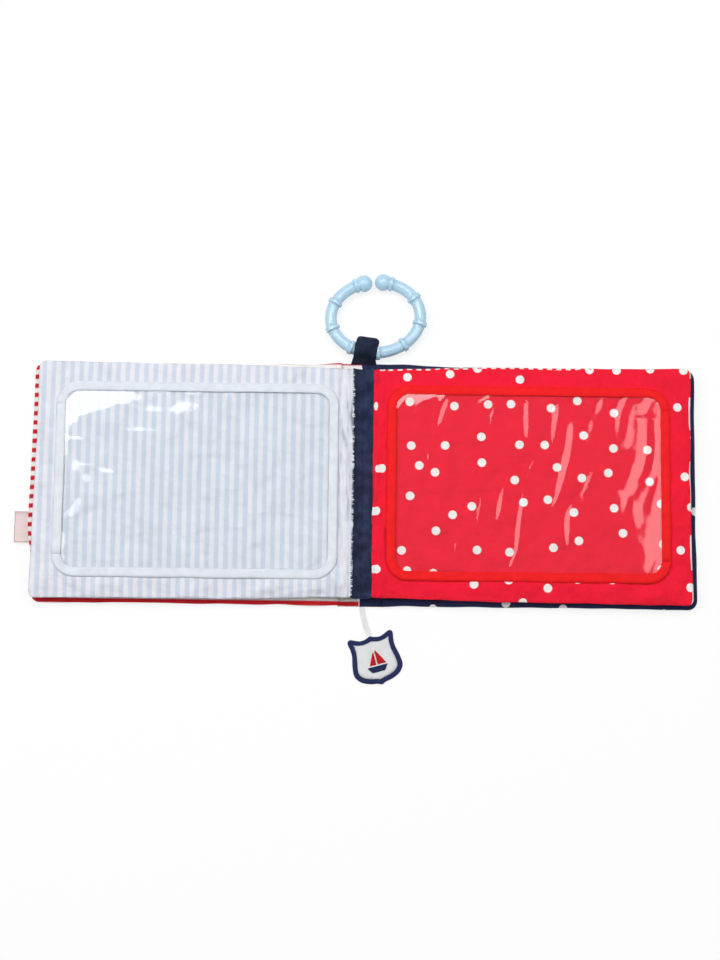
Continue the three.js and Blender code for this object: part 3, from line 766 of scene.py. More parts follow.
def cover_lean(t):
    """The same for the front cover, which also slips under the leaf below its tab."""
    return leaf_lean(t) + FOOT_SLIP * ramp(-0.42 - t, 0.25)


FORE_EDGE = {"left_leaf_pad": leaf_lean, "front_cover_pad": cover_lean}


def both_faces(above, below):
    """One row of values for a pad's points: all of its top, then its underside within the seam."""
    return np.concatenate([above.ravel(), below[1:-1, 1:-1].ravel()])


class ALBUM_OT_panels(bpy.types.Operator):
    """Makes the padded leaves and covers, each two fabrics sewn together round wadding"""

    bl_idname = "album.panels"
    bl_label = "Padded panels"

    def execute(self, context):
        sizes = context.scene.album_sizes
        leaf = {
            "corners": (1.5 * MM, LEAF_CORNER),
            "crowns": (CROWN, CROWN),
            "seam": LEAF_SEAM_Z,
            "past": (0.4 * MM, 0),
            "taper": LEAF_TAPER,
            "reach": 10 * MM,
            "draw": 0.8 * MM,
            "wobble": 0.35 * MM,
            "tuck": 0,
        }
        cover = {
            "corners": (0.8 * MM, COVER_CORNER),
            "crowns": (CROWN, 0),
            "seam": COVER_SEAM_Z,
            "past": (0.4 * MM, 1.1 * MM),
            "taper": 0,
            "reach": 6 * MM,
            "draw": 0.5 * MM,
            "wobble": 0.8 * MM,
            "tuck": 1 * MM,
        }
        rows = [
            ("left_leaf", "face", "back", ("blue_stripe", "blue_stripe"), "blue_stripe_cotton", leaf, 3.1),
            ("right_leaf", "face", "back", ("red_dots", "red_columns"), "red_dot_cotton", leaf, 7.7),
            ("front_cover", "lining", "outer", ("red_rows", "red_rows"), "red_stripe_cotton", cover, 12.9),
            ("back_cover", "lining", "outer", ("navy_dots", "navy_dots"), "navy_dot_cotton", cover, 21.3),
        ]
        for body, above, below, looks, slot, shape, seed in rows:
            nodes = [f"{body}_{part}" for part in (above, below, "wadding")]
            pad = self.panel(f"{body}_pad", nodes, looks, shape, seed, sizes)
            place_on(pad, body, slot, *nodes)
        return {"FINISHED"}

    def panel(self, name, nodes, looks, shape, seed, sizes):
        """One pad: its outline, its two domed fabrics, their slack and their puckers."""
        low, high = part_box(nodes[0])
        side = 1 if low.x + high.x > 0 else -1
        inner = min(abs(low.x), abs(high.x)) - shape["past"][0]
        outer = max(abs(low.x), abs(high.x)) + shape["past"][1]
        width = outer - inner
        height = high.y - low.y
        half = height / 2
        columns = 2 * round(width / CELL / 2)
        rows = 2 * round(height / CELL / 2)
        x, y = np.meshgrid(even_steps(columns) * width / 2, even_steps(rows) * half)
        corner = np.where(side * x < 0, *shape["corners"])
        x, y, inset = round_corners(x, y, width, height, corner)
        from_spine = width / 2 + side * x
        bare = self.beside_pocket(from_spine + inner, y)
        pucker = bare * self.wrinkles(x, y, inset, from_spine, half, seed, sizes.pucker)
        heights = [rise(inset, crown, half, shape["reach"]) for crown in shape["crowns"]]
        # The sides are drawn in between the corners, and the seam wanders a little.
        drawn_x = shape["draw"] * (1 - (y / half) ** 2) + FORE_EDGE.get(name, np.zeros_like)(y / half)
        drawn_x = drawn_x * ramp(from_spine, width) ** 2
        drawn_y = shape["draw"] * (1 - (2 * x / width) ** 2)
        near_edge = np.exp(-inset / EDGE_FADE)
        wobble_x = SEAM_WAVE * near_edge * ripple(y, 0 * y, 16, 1, seed + 1)
        wobble_y = shape["wobble"] * near_edge * ripple(x, 0 * x, 16, 1, seed + 2)
        new_x = x - side * drawn_x + wobble_x + side * (inner + outer) / 2
        new_y = y * (1 - drawn_y / half) + wobble_y
        new_y = new_y * (1 - shape["taper"] / half * np.clip(1 - from_spine / TAPER_LENGTH, 0, 1))
        # A cover's head slips in under its leaf away from the spine.
        new_y -= shape["tuck"] * ramp(from_spine, TUCK_LENGTH) * ramp(y, half) ** 2
        along = np.where(width / 2 - np.abs(x) < half - np.abs(y), y, x)
        middle = shape["seam"] + SEAM_WAVE * near_edge * ripple(along, 0 * along, 22, 1, seed + 3)
        top = np.stack([new_x, new_y, middle + heights[0]], axis=2)
        bottom = np.stack([new_x, new_y, np.maximum(middle - heights[1], ON_TABLE)], axis=2)
        faces, slots, seam, under = self.skin(x.shape, name == "right_leaf_pad")
        points = np.concatenate([top.reshape(-1, 3), bottom[1:-1, 1:-1].reshape(-1, 3)])
        pad = make_piece(name, points, faces, [LOOKS[key] for key in looks], slots)
        loose = HELD_MOVE + FREE_MOVE * bare
        cap = both_faces(loose, loose)
        if shape["crowns"][1] == 0:
            cap[under:] = TABLE_MOVE
        inflate(pad, seam, cap)
        least = both_faces(middle + KEPT_HEIGHT * heights[0], np.full_like(x, ON_TABLE))
        most = both_faces(np.ones_like(x), middle - KEPT_HEIGHT * heights[1])
        least = np.maximum(least, shape["seam"] - PAD_ROOM)
        most = np.minimum(most, shape["seam"] + PAD_ROOM)
        self.fold(pad, both_faces(pucker, -pucker), least, most)
        self.crease(pad, seam)
        soften(pad)
        return pad

    def fold(self, pad, folds, least, most):
        """Puckers the margins, with the fabrics kept apart, clear of other panels and on the table."""
        for point, fold, low, high in zip(pad.data.vertices, folds, least, most):
            point.co.z = min(max(point.co.z + fold, low), high)

    def beside_pocket(self, from_fold, y):
        """0 under a pocket's film, rising to 1 at the outer edge of its tape."""
        past_x = np.abs(from_fold - POCKET_X) - POCKET_WIDTH / 2
        past_y = np.abs(y) - POCKET_HEIGHT / 2
        return np.clip(np.maximum(past_x, past_y) / (4 * MM) + 1, 0, 1)

    def wrinkles(self, x, y, inset, from_spine, half, seed, height):
        """Gathers across the seams, folds along the spine and slack creases in the margins."""
        along = np.where(np.abs(y) > half - inset - 0.1 * MM, x, y)
        gather = ripple(along, inset, 5, 14, seed)
        gather += 0.7 * ripple(along, inset, 11, 30, seed + 5)
        gather *= np.exp(-inset / (7 * MM)) * ramp(inset, 2 * MM)
        fold = ripple(from_spine, y, 2.3, 34, seed + 8)
        fold *= np.exp(-np.maximum(from_spine - 3 * MM, 0) / (6 * MM)) * ramp(from_spine, 2 * MM)
        crease = ripple(x + 0.5 * y, y - 0.5 * x, 9, 30, seed + 9)
        return height * (gather + 1.5 * fold + 0.7 * crease * ramp(inset, 5 * MM))

    def skin(self, shape, rolled):
        """Faces, fabrics, seam points and first point of the underside of a closed pad."""
        rows, columns = shape
        top = np.arange(rows * columns).reshape(shape)
        bottom = top.copy()
        under = rows * columns
        bottom[1:-1, 1:-1] = under + np.arange((rows - 2) * (columns - 2)).reshape(rows - 2, columns - 2)
        faces = []
        slots = []
        for index, fabric in ((top, 0), (bottom, 1)):
            for j in range(rows - 1):
                for i in range(columns - 1):
                    faces.append((index[j, i], index[j, i + 1], index[j + 1, i + 1], index[j + 1, i]))
                    # The back fabric of the red leaf rolls over its top seam and its fore-edge.
                    head = j >= rows - 2 and i < columns * 0.62
                    fore_edge = i == columns - 2 and j % 9 < 5
                    slots.append(1 if rolled and (head or fore_edge) else fabric)
        seam = np.concatenate([top[0], top[-1], top[1:-1, 0], top[1:-1, -1]])
        return faces, slots, seam, under

    def crease(self, pad, seam):
        """Keeps the sewn edge crisp under the subdivision."""
        on_seam = set(int(i) for i in seam)
        mesh = pad.data
        sharp = mesh.attributes.new("crease_edge", "FLOAT", "EDGE")
        values = [SEAM_CREASE * (set(edge.vertices) <= on_seam) for edge in mesh.edges]
        sharp.data.foreach_set("value", values)


# Spine

# Distance from the middle within which the covers' fabric would bend.
FOLD_REACH = 5.0 * MM
SPINE_ROWS = 60
# The strip: half width at its foot, depth of its gutter and of its rounded edge
STRIP_FOOT = 3.5 * MM
STRIP_DIP = 3.3 * MM
STRIP_EDGE = 1.2 * MM
BAND_COLUMNS = 34


class ALBUM_OT_spine(bpy.types.Operator):
    """Makes the velour strip in the gutter and the two cover fabrics that meet under it"""

    bl_idname = "album.spine"
    bl_label = "Spine"

    def execute(self, context):
        for side, leaf in ((-1, "left_leaf"), (1, "right_leaf")):
            self.strip_half(side, leaf)
            self.band(side, leaf)
        return {"FINISHED"}

    def strip_half(self, side, leaf):
        """Half of the velour strip, from the bottom of the gutter up to the leaf."""
        low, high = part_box("spine_strip")
        half = high.x + 0.25 * MM
        end = high.y - 2.4 * MM
        flank_top = high.z - STRIP_EDGE
        points = []
        for y in np.linspace(-end, end, SPINE_ROWS):
            ring = []
            for share in np.linspace(0, 1, 9):
                z = high.z - STRIP_DIP * (1 - share * share)
                z += 0.25 * MM * wander(share * 2 + 3 * side, y / (9 * MM), 4.4)
                ring.append((side * half * share, y, z))
            for share in np.linspace(0, 1, 7):
                across_flank = half + (STRIP_FOOT - half) * share
                ring.append((side * across_flank, y, flank_top + (low.z - flank_top) * share))
            for share in np.linspace(0.75, 0, 4):
                ring.append((side * STRIP_FOOT * share, y, low.z))
            points.extend(ring)
        name = "velour_strip_left" if side < 0 else "velour_strip_right"
        piece = make_piece(name, points, tube(SPINE_ROWS, len(ring)), [LOOKS["velour"]])
        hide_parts("spine_strip")
        self.bend(piece, side, leaf, 0, side * high.x)

    def band(self, side, leaf):
        """The fabric of one cover, from the middle to the cover's edge."""
        cover = "front" if side < 0 else "back"
        look, slot = ("red_rows", "red_stripe_cotton") if side < 0 else ("navy_fold", "navy_dot_cotton")
        low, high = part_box(f"spine_band_{cover}")
        near, far = (high.x, low.x) if side < 0 else (low.x, high.x)
        # Most columns lie near the middle, where the fabric would bend; the rest of it stays flat against the
        # cover.
        xs = near + (far + side * 0.8 * MM - near) * np.linspace(0, 1, BAND_COLUMNS) ** 1.6
        x, y = np.meshgrid(xs, np.linspace(low.y, high.y, SPINE_ROWS))
        z = (low.z + high.z) / 2 + 0.12 * MM * ripple(x, y, 6, 14, 9.1)
        points, faces = thick_sheet(np.stack([x, y, z], axis=2), high.z - low.z - 0.3 * MM)
        piece = make_piece(f"cover_fold_{cover}", points, faces, [LOOKS[look]])
        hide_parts(f"spine_band_{cover}")
        self.bend(piece, side, leaf, near, side * FOLD_REACH)

    def bend(self, piece, side, leaf, near, far):
        """Bakes the piece's place into its points.

        Its leaf, and where a bend would begin and end, are not used.
        """
        if side < 0:
            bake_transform(piece)
        else:
            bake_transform(piece)


# Picture pockets

PATH_STEP = 3 * MM
MOUTH_STEPS = 30
CORNER_STEPS = 12
FILM_COLUMNS = 112
FILM_ROWS = 76
# Slack film stands up at two corners: how far in from the pocket's edges, how wide and how high
SLACK_INSET = 17 * MM
SLACK_WIDTH = 14 * MM
SLACK_HEIGHT = 0.78 * MM
# Share of that at the mouth, where the tape holds the film lower
SLACK_AT_MOUTH = 0.33
RIDGE_LEAN = math.radians(12)


def on_page(points, side, seam, under):
    """Turns a pocket from its own frame, mouth towards +X, on to its page."""
    placed = np.array(points, float)
    if under:
        placed[:, 1:] *= -1
    placed += (POCKET_X, 0, seam)
    if side < 0:
        placed[:, :2] *= -1
    return placed


def pocket_path(inset):
    """Points and inward normals along three sides of a pocket, from one end of its mouth to the other."""
    x = POCKET_WIDTH / 2 - POCKET_CORNER
    y = POCKET_HEIGHT / 2 - POCKET_CORNER
    points = []
    normals = []

    def straight(start, end, normal):
        steps = max(2, round(math.dist(start, end) / PATH_STEP))
        for k in range(1, steps):
            t = k / steps
            points.append((start[0] + (end[0] - start[0]) * t, start[1] + (end[1] - start[1]) * t))
            normals.append(normal)

    corners = [(x, y, 0), (-x, y, 90), (-x, -y, 180), (x, -y, 270)]
    for number, (cx, cy, start) in enumerate(corners):
        for k in range(CORNER_STEPS + 1):
            angle = math.radians(start + 90 * k / CORNER_STEPS)
            points.append((cx + POCKET_CORNER * math.cos(angle), cy + POCKET_CORNER * math.sin(angle)))
            normals.append((-math.cos(angle), -math.sin(angle)))
        if number < 3:
            turn = math.radians(start + 90)
            nx, ny, _ = corners[number + 1]
            off_x = POCKET_CORNER * math.cos(turn)
            off_y = POCKET_CORNER * math.sin(turn)
            inwards = (-math.cos(turn), -math.sin(turn))
            straight((cx + off_x, cy + off_y), (nx + off_x, ny + off_y), inwards)
    points = np.array(points)
    normals = np.array(normals)
    return points + normals * inset, normals


def mouth_path(inset):
    """Points and inward normals along a pocket's mouth."""
    ys = np.linspace(-MOUTH_HALF, MOUTH_HALF, MOUTH_STEPS)
    path = np.stack([np.full_like(ys, POCKET_WIDTH / 2 - inset), ys], axis=1)
    return path, np.tile((-1.0, 0.0), (len(ys), 1))


# The tape's section: how far in from its outer edge, and how far below its top
TAPE_SECTION = np.array(
    [
        (0.0, -1.75), (0.05, -1.0), (0.35, -0.4), (1.1, -0.08), (2.2, 0.0), (3.3, -0.02),
        (4.4, -0.1), (5.15, -0.22), (5.5, -0.42), (5.35, -0.52), (4.0, -0.42), (2.4, -0.42), (2.0, -1.6),
    ]
) * MM
TAPE_STITCH = (4.35 * MM, -0.1 * MM)


def tape_points(path, normals, seed):
    """A tape laid along a path, a little uneven as sewn tape is."""
    made = []
    for (x, y), (nx, ny), s in zip(path, normals, distance_along(path)):
        lift = 0.12 * MM * wander(s / (8 * MM), 0, seed)
        slide = 0.2 * MM * wander(s / (19 * MM), 0, seed + 2)
        for inward, down in TAPE_SECTION:
            share = inward / TAPE_SECTION[:, 0].max()
            z = POCKET_TOP + down + lift * share
            made.append((x + nx * (inward + slide), y + ny * (inward + slide), z))
    return made


PAGES = [
    ("left_leaf_face", "left_leaf", -1, LEAF_SEAM_Z, False, "pale_tape"),
    ("left_leaf_back", "left_leaf", -1, LEAF_SEAM_Z, True, "pale_tape"),
    ("right_leaf_face", "right_leaf", 1, LEAF_SEAM_Z, False, "red_tape"),
    ("right_leaf_back", "right_leaf", 1, LEAF_SEAM_Z, True, "red_tape"),
    ("front_cover", "front_cover", -1, COVER_SEAM_Z, False, "red_tape"),
    ("back_cover", "back_cover", 1, COVER_SEAM_Z, False, "navy_tape"),
]


class ALBUM_OT_pockets(bpy.types.Operator):
    """Makes the clear film, the binding and the mouth tape of each picture pocket"""

    bl_idname = "album.pockets"
    bl_label = "Picture pockets"

    def execute(self, context):
        sizes = context.scene.album_sizes
        for number, (prefix, body, side, seam, under, slot) in enumerate(PAGES):
            seed = 3.7 + 11 * number
            place = (side, seam, under)
            self.film(prefix, body, place, seed, sizes)
            self.tape(f"{prefix}_binding", body, place, slot, pocket_path(0), seed)
            self.tape(f"{prefix}_mouth_tape", body, place, slot, mouth_path(0), seed + 1)
        return {"FINISHED"}

    def tape(self, node, body, place, slot, line, seed):
        """One binding or mouth tape, along its line of points and inward normals."""
        path, normals = line
        points = on_page(tape_points(path, normals, seed), *place)
        piece = make_piece(f"{node}_sewn", points, tube(len(path), len(TAPE_SECTION)), [LOOKS[slot]])
        place_on(piece, body, slot, node)

    def film(self, prefix, body, place, seed, sizes):
        """One clear film, with its edge under the tape."""
        width = POCKET_WIDTH - 2 * FILM_INSET
        height = POCKET_HEIGHT - 2 * FILM_INSET
        xs = np.linspace(-width / 2, width / 2, FILM_COLUMNS)
        x, y = np.meshgrid(xs, np.linspace(-height / 2, height / 2, FILM_ROWS))
        x, y, inset = round_corners(x, y, width, height, POCKET_CORNER - FILM_INSET)
        # The film on the left is slack at its edge, and the one on the right in its middle.
        edge, ridges = (1.15, 0.1) if place[0] < 0 else (0.3, 1.0)
        z = FILM_Z + self.waves(x, y, inset, seed, edge * sizes.film_wave, ridges * sizes.film_wave)
        points, faces = thick_sheet(np.stack([x, y, z], axis=2), sizes.film_thickness)
        piece = make_piece(f"{prefix}_film", on_page(points, *place), faces, [LOOKS["vinyl"]])
        place_on(piece, body, "clear_vinyl", f"{prefix}_window")

    def waves(self, x, y, inset, seed, edge, ridges):
        """Slack film: it bulges inside its tape, most at two corners, and has leaning ridges."""
        corner_x = POCKET_WIDTH / 2 - SLACK_INSET
        corner_y = POCKET_HEIGHT / 2 - SLACK_INSET
        mouth = np.exp(-((x - corner_x) ** 2 + (y + corner_y) ** 2) / SLACK_WIDTH ** 2)
        spine = np.exp(-((x + corner_x) ** 2 + (y - corner_y) ** 2) / SLACK_WIDTH ** 2)
        corner = (SLACK_AT_MOUTH * mouth + spine) * ramp(inset, 5 * MM)
        gap = x.max() - x
        pull = np.clip(0.15 + 1.6 * ripple(x, y, 22, 8, seed + 3), 0, 1.1)
        pull *= np.exp(-gap / (35 * MM)) * ramp(inset, 4 * MM)
        bulge = edge * pull * (1 - np.exp(-gap / (7 * MM))) + SLACK_HEIGHT * corner
        u = x * math.cos(RIDGE_LEAN) - y * math.sin(RIDGE_LEAN)
        v = x * math.sin(RIDGE_LEAN) + y * math.cos(RIDGE_LEAN)
        bend = 0.6 * ripple(u, v, 30, 26, seed)
        ridge = wander_all(u / (6 * MM) + bend, v / (30 * MM), seed + 1)
        ridge += 0.16 * wander_all(u / (4 * MM) + bend, v / (10 * MM), seed + 2)
        busy = np.clip(1 - x / (85 * MM), 0.3, 1.1) * ramp(inset, 7 * MM)
        total = bulge + ridges * busy * ridge
        room = np.where(total > 0, FILM_ROOM, FILM_SAG)
        return room * np.tanh(total / room)


# Stitches and overlocked threads


def stitch_tree():
    """Node tree that lays small round-ended stitches along a line of points."""
    tree = bpy.data.node_groups.new("Stitch row", "GeometryNodeTree")
    tree.is_modifier = True
    sockets = {"Line": "Geometry", "Spacing": "Float", "Length": "Float", "Width": "Float", "Height": "Float"}
    sockets.update({"Unevenness": "Float", "Seed": "Int", "Thread": "Material"})
    for name, kind in sockets.items():
        tree.interface.new_socket(name, in_out="INPUT", socket_type=f"NodeSocket{kind}")
    tree.interface.new_socket("Stitches", in_out="OUTPUT", socket_type="NodeSocketGeometry")
    given = add(tree, "NodeGroupInput").outputs
    curve = add(tree, "GeometryNodeMeshToCurve", {"Mesh": given["Line"]})
    spaced = {"Curve": curve, "Length": given["Spacing"]}
    spaced = add(tree, "GeometryNodeResampleCurve", spaced, mode="LENGTH")
    bead = add(tree, "GeometryNodeMeshUVSphere", {"Segments": 8, "Rings": 5, "Radius": 0.5})
    turn = {"Vector": add(tree, "GeometryNodeInputTangent")}
    turn = add(tree, "FunctionNodeAlignRotationToVector", turn, axis="X", pivot_axis="Z")
    least = add(tree, "ShaderNodeMath", {0: 1.0, 1: given["Unevenness"]}, operation="SUBTRACT")
    most = add(tree, "ShaderNodeMath", {0: 1.0, 1: given["Unevenness"]}, operation="ADD")
    vary = {"Min": least, "Max": most, "Seed": given["Seed"]}
    vary = add(tree, "FunctionNodeRandomValue", vary, data_type="FLOAT_VECTOR")
    size = {"X": given["Length"], "Y": given["Width"], "Z": given["Height"]}
    size = add(tree, "ShaderNodeCombineXYZ", size)
    scale = add(tree, "ShaderNodeVectorMath", {0: size, 1: vary}, operation="MULTIPLY")
    laid = {"Points": spaced, "Instance": bead, "Rotation": turn, "Scale": scale}
    laid = add(tree, "GeometryNodeInstanceOnPoints", laid)
    real = add(tree, "GeometryNodeRealizeInstances", {"Geometry": laid})
    smooth = add(tree, "GeometryNodeSetShadeSmooth", {"Geometry": real})
    dyed = add(tree, "GeometryNodeSetMaterial", {"Geometry": smooth, "Material": given["Thread"]})
    add(tree, "NodeGroupOutput", {"Stitches": dyed})
    return tree


def sew(name, lines, look, settings):
    """Lays stitches along lines of points and gives them back as one plain mesh."""
    points = []
    edges = []
    for line in lines:
        first = len(points)
        points.extend(tuple(p) for p in line)
        edges.extend((first + k, first + k + 1) for k in range(len(line) - 1))
    mesh = bpy.data.meshes.new(name)
    mesh.from_pydata(points, edges, [])
    made = link_object(name, mesh)
    tree = bpy.data.node_groups.get("Stitch row") or stitch_tree()
    modifier = made.modifiers.new("Stitches", "NODES")
    modifier.node_group = tree
    values = {**settings, "Thread": LOOKS[look]}
    for item in tree.interface.items_tree:
        if item.in_out == "INPUT" and item.name in values:
            modifier[item.identifier] = values[item.name]
    shown = made.evaluated_get(bpy.context.evaluated_depsgraph_get())
    made.data = bpy.data.meshes.new_from_object(shown)
    made.data.name = name
    made.modifiers.clear()
    return made


class ALBUM_OT_stitches(bpy.types.Operator):
    """Sews the tapes down and the left page to the velour"""

    bl_idname = "album.stitches"
    bl_label = "Stitches"

    def execute(self, context):
        sizes = context.scene.album_sizes
        plain = {"Spacing": sizes.stitch_gap, "Length": sizes.stitch, "Width": 0.55 * MM, "Height": 0.3 * MM}
        plain.update({"Unevenness": 0.12, "Seed": 4})
        inward, down = TAPE_STITCH
        seams = []
        for flat, _ in (pocket_path(inward), mouth_path(inward)):
            z = np.full((len(flat), 1), POCKET_TOP + down)
            seams.append(np.concatenate([flat, z], axis=1))
        for body in ("left_leaf", "right_leaf", "front_cover", "back_cover"):
            pages = [page for page in PAGES if page[1] == body]
            slot = pages[0][-1]
            lines = [on_page(line, *page[2:5]) for page in pages for line in seams]
            place_on(sew(f"{body}_stitches", lines, slot, plain), body, slot)
        self.fringe()
        return {"FINISHED"}

    def fringe(self):
        """Frayed overcast edge where the left page meets the velour."""
        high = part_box("left_leaf_face")[1]
        end = high.y - LEAF_TAPER - 1.5 * MM
        line = [(high.x + 0.35 * MM, y, LEAF_SEAM_Z + 0.85 * MM) for y in np.linspace(-end, end, 90)]
        frayed = {"Spacing": 1.2 * MM, "Length": 0.8 * MM, "Width": 1.5 * MM, "Height": 0.5 * MM}
        piece = sew("left_leaf_fringe", [line], "pale_tape", {**frayed, "Unevenness": 0.8, "Seed": 9})
        place_on(piece, "left_leaf", "pale_tape")


# Link ring

RING_SIDES = 28
# Angles round a ball, from its end to its middle and on towards the tube
BALL_END = np.radians([3, 12, 25, 40, 55, 70, 85])
BALL_NECK = np.radians([5, 15, 25, 35])
# A collar's half section: millimetres from its middle, and share of its height
COLLAR_HALF = [(-1.15, 0), (-1.1, 0.3), (-1.0, 0.85), (-0.85, 1.0), (-0.6, 0.97), (0, 0.93)]


class ALBUM_OT_ring(bpy.types.Operator):
    """Makes the open oval link ring with its ball ends and collars"""

    bl_idname = "album.ring"
    bl_label = "Link ring"

    def execute(self, context):
        opening = math.asin(BALL_SPACING / 2 / RING_A)
        angles = np.linspace(math.pi / 2 + opening, 2.5 * math.pi - opening, 4001)
        oval = np.stack([RING_A * np.cos(angles), RING_B * np.sin(angles)], axis=1)
        run = distance_along(oval)
        total = run[-1]
        profile = self.profile(total)
        points = []
        for at, radius in profile:
            held = min(max(at, 0), total)
            past = at - held
            angle = np.interp(held, run, angles)
            way = Vector((-RING_A * math.sin(angle), RING_B * math.cos(angle))).normalized()
            x = np.interp(held, run, oval[:, 0]) + way.x * past
            y = np.interp(held, run, oval[:, 1]) + way.y * past
            for t in np.linspace(0, 2 * math.pi, RING_SIDES, endpoint=False):
                out = radius * math.cos(t)
                local = Vector((x + way.y * out, y - way.x * out, radius * math.sin(t)))
                local.rotate(Matrix.Rotation(RING_TURN, 3, "Z"))
                points.append(local + RING_CENTRE)
        piece = make_piece("blue_link_ring", points, tube(len(profile), RING_SIDES), [LOOKS["ring"]])
        place_on(piece, "ring", "ring_plastic", "link_ring")
        return {"FINISHED"}

    def profile(self, total):
        """Places along the straightened ring, and the radius there."""
        ball = [(-BALL_R * math.cos(a), BALL_R * math.sin(a)) for a in BALL_END]
        ball += [(BALL_R * math.sin(a), BALL_R * math.cos(a)) for a in BALL_NECK]
        ball.append((math.sqrt(BALL_R ** 2 - TUBE_R ** 2), TUBE_R))
        end = [(total - at, radius) for at, radius in reversed(ball)]
        collar = COLLAR_HALF + [(-at, height) for at, height in reversed(COLLAR_HALF[:-1])]
        middle = []
        pitch = (total - 2 * END_COLLAR) / (COLLARS - 1)
        for number in range(COLLARS):
            centre = END_COLLAR + number * pitch
            for at, height in collar:
                middle.append((centre + at * MM, TUBE_R + height * (COLLAR_R - TUBE_R)))
            if number + 1 < COLLARS:
                for share in (0.2, 0.35, 0.5, 0.65, 0.8):
                    middle.append((centre + share * pitch, TUBE_R))
        return ball + middle + end


# Hanging loop

# Middle of the velour in millimetres, from inside the seam over the ring's tube to the fold and back under it
LOOP_OUTLINE = [
    (-2.2, 0.85), (-0.8, 0.9), (0.0, 1.5), (0.9, 3.4), (2.3, 6.8), (4.1, 9.0), (6.4, 9.6), (9.0, 8.8),
    (11.2, 7.1), (13.2, 6.2), (14.7, 5.75), (15.1, 5.3), (14.7, 4.85), (13.2, 4.4), (11.2, 3.5), (9.0, 1.6),
    (6.4, 0.7), (4.1, 0.75), (2.3, 0.7), (0.9, 0.65), (-0.4, 0.6), (-2.0, 0.6),
]
LOOP_THICKNESS = 0.9 * MM
# Half widths: in the seam, and how much less of it is free
LOOP_SEAM_HALF = 7.45 * MM
LOOP_NARROWS = 0.9 * MM
LOOP_CORNER = 2.2 * MM
# The loop leans to the side, and its fold is askew
LOOP_LEAN = 0.16
LOOP_SKEW = 0.13


class ALBUM_OT_loop(bpy.types.Operator):
    """Makes the folded velour loop that holds the ring"""

    bl_idname = "album.loop"
    bl_label = "Hanging loop"

    def execute(self, context):
        line = smooth_line([(y, z, 0) for y, z in LOOP_OUTLINE], 72) * MM
        columns = np.linspace(-1, 1, 13)
        grid = np.zeros((len(line), len(columns), 3))
        seam_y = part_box("hanging_loop")[0].y
        for k, (y, z, _) in enumerate(line):
            free = min(1, max(0, y / (2 * MM)))
            half = LOOP_SEAM_HALF - LOOP_NARROWS * free
            for i, share in enumerate(columns):
                past = max(0, abs(share) - 0.72) / 0.28
                rounded = 1 - math.sqrt(max(0, 1 - past * past))
                corner = LOOP_CORNER * rounded * max(0, y - 10 * MM) / (5 * MM)
                x = half * share + LOOP_LEAN * y
                bow = 0.25 * MM * wander(share * 1.5, y / (6 * MM), z * 200 + 8.2)
                grid[k, i] = (x, seam_y + y - corner - LOOP_SKEW * x * free, z + bow * free)
        points, faces = thick_sheet(grid, LOOP_THICKNESS)
        piece = make_piece("velour_loop", points, faces, [LOOKS["loop"]])
        soften(piece)
        place_on(piece, "loop", "navy_velour", "hanging_loop")
        return {"FINISHED"}


def smooth_line(points, count, closed=False):
    """Evenly spaced points on a Catmull-Rom curve through points."""
    knots = np.array(points, float)
    if closed:
        knots = np.concatenate([knots[-1:], knots, knots[:2]])
    else:
        knots = np.concatenate([2 * knots[:1] - knots[1:2], knots, 2 * knots[-1:] - knots[-2:-1]])
    dense = []
    for p0, p1, p2, p3 in zip(knots, knots[1:], knots[2:], knots[3:]):
        square = 2 * p0 - 5 * p1 + 4 * p2 - p3
        cube = 3 * p1 - p0 - 3 * p2 + p3
        for t in np.linspace(0, 1, 24, endpoint=False):
            dense.append(0.5 * (2 * p1 + (p2 - p0) * t + square * t * t + cube * t * t * t))
    dense.append(knots[-2])
    dense = np.array(dense)
    run = distance_along(dense)
    wanted = np.linspace(0, run[-1], count, endpoint=not closed)
    return np.stack([np.interp(wanted, run, dense[:, k]) for k in range(3)], axis=1)


# Tag

RIBBON_ROWS = 30
RIBBON_COLUMNS = 9
RIBBON_ENDS = (1.2 * MM, -17.4 * MM)
RIBBON_HALF = 1.6 * MM
RIBBON_SWAY = -0.7 * MM
RIBBON_Z = 0.75 * MM
RIBBON_THICKNESS = 0.35 * MM
# The border's section: share of the way in, and millimetres above the tag's lowest face
BORDER_SECTION = [
    (0, 0.15), (0.0, 0.9), (0.1, 1.35), (0.3, 1.7), (0.5, 1.8),
    (0.7, 1.72), (0.9, 1.45), (1.0, 1.0), (1.0, 0.15),
]
OVERLOCK_Z = 1.5 * MM
# The field: its rings' share of the way out, its height in the middle, fall at the edge and underside
FIELD_RINGS = (1, 0.85, 0.65, 0.45, 0.25)
FIELD_TOP = 1.55
FIELD_FALL = 0.25
FIELD_UNDER = 0.4 * MM
# Satin stitches in millimetres: rows apart, first and last row in from the corner, and ends in
SATIN_GAP = 0.42
SATIN_FIRST = 0.22
SATIN_LAST = 0.1
SATIN_END = 0.2
SATIN_LEAST = 0.5
SATIN_Z = 1.75 * MM


def on_tag(points):
    """Turns points from the tag's own frame, which hangs down from its seam, into place."""
    turn = Matrix.Rotation(TAG_TURN, 3, "Z")
    return [turn @ Vector(p) + TAG_PLACE for p in points]


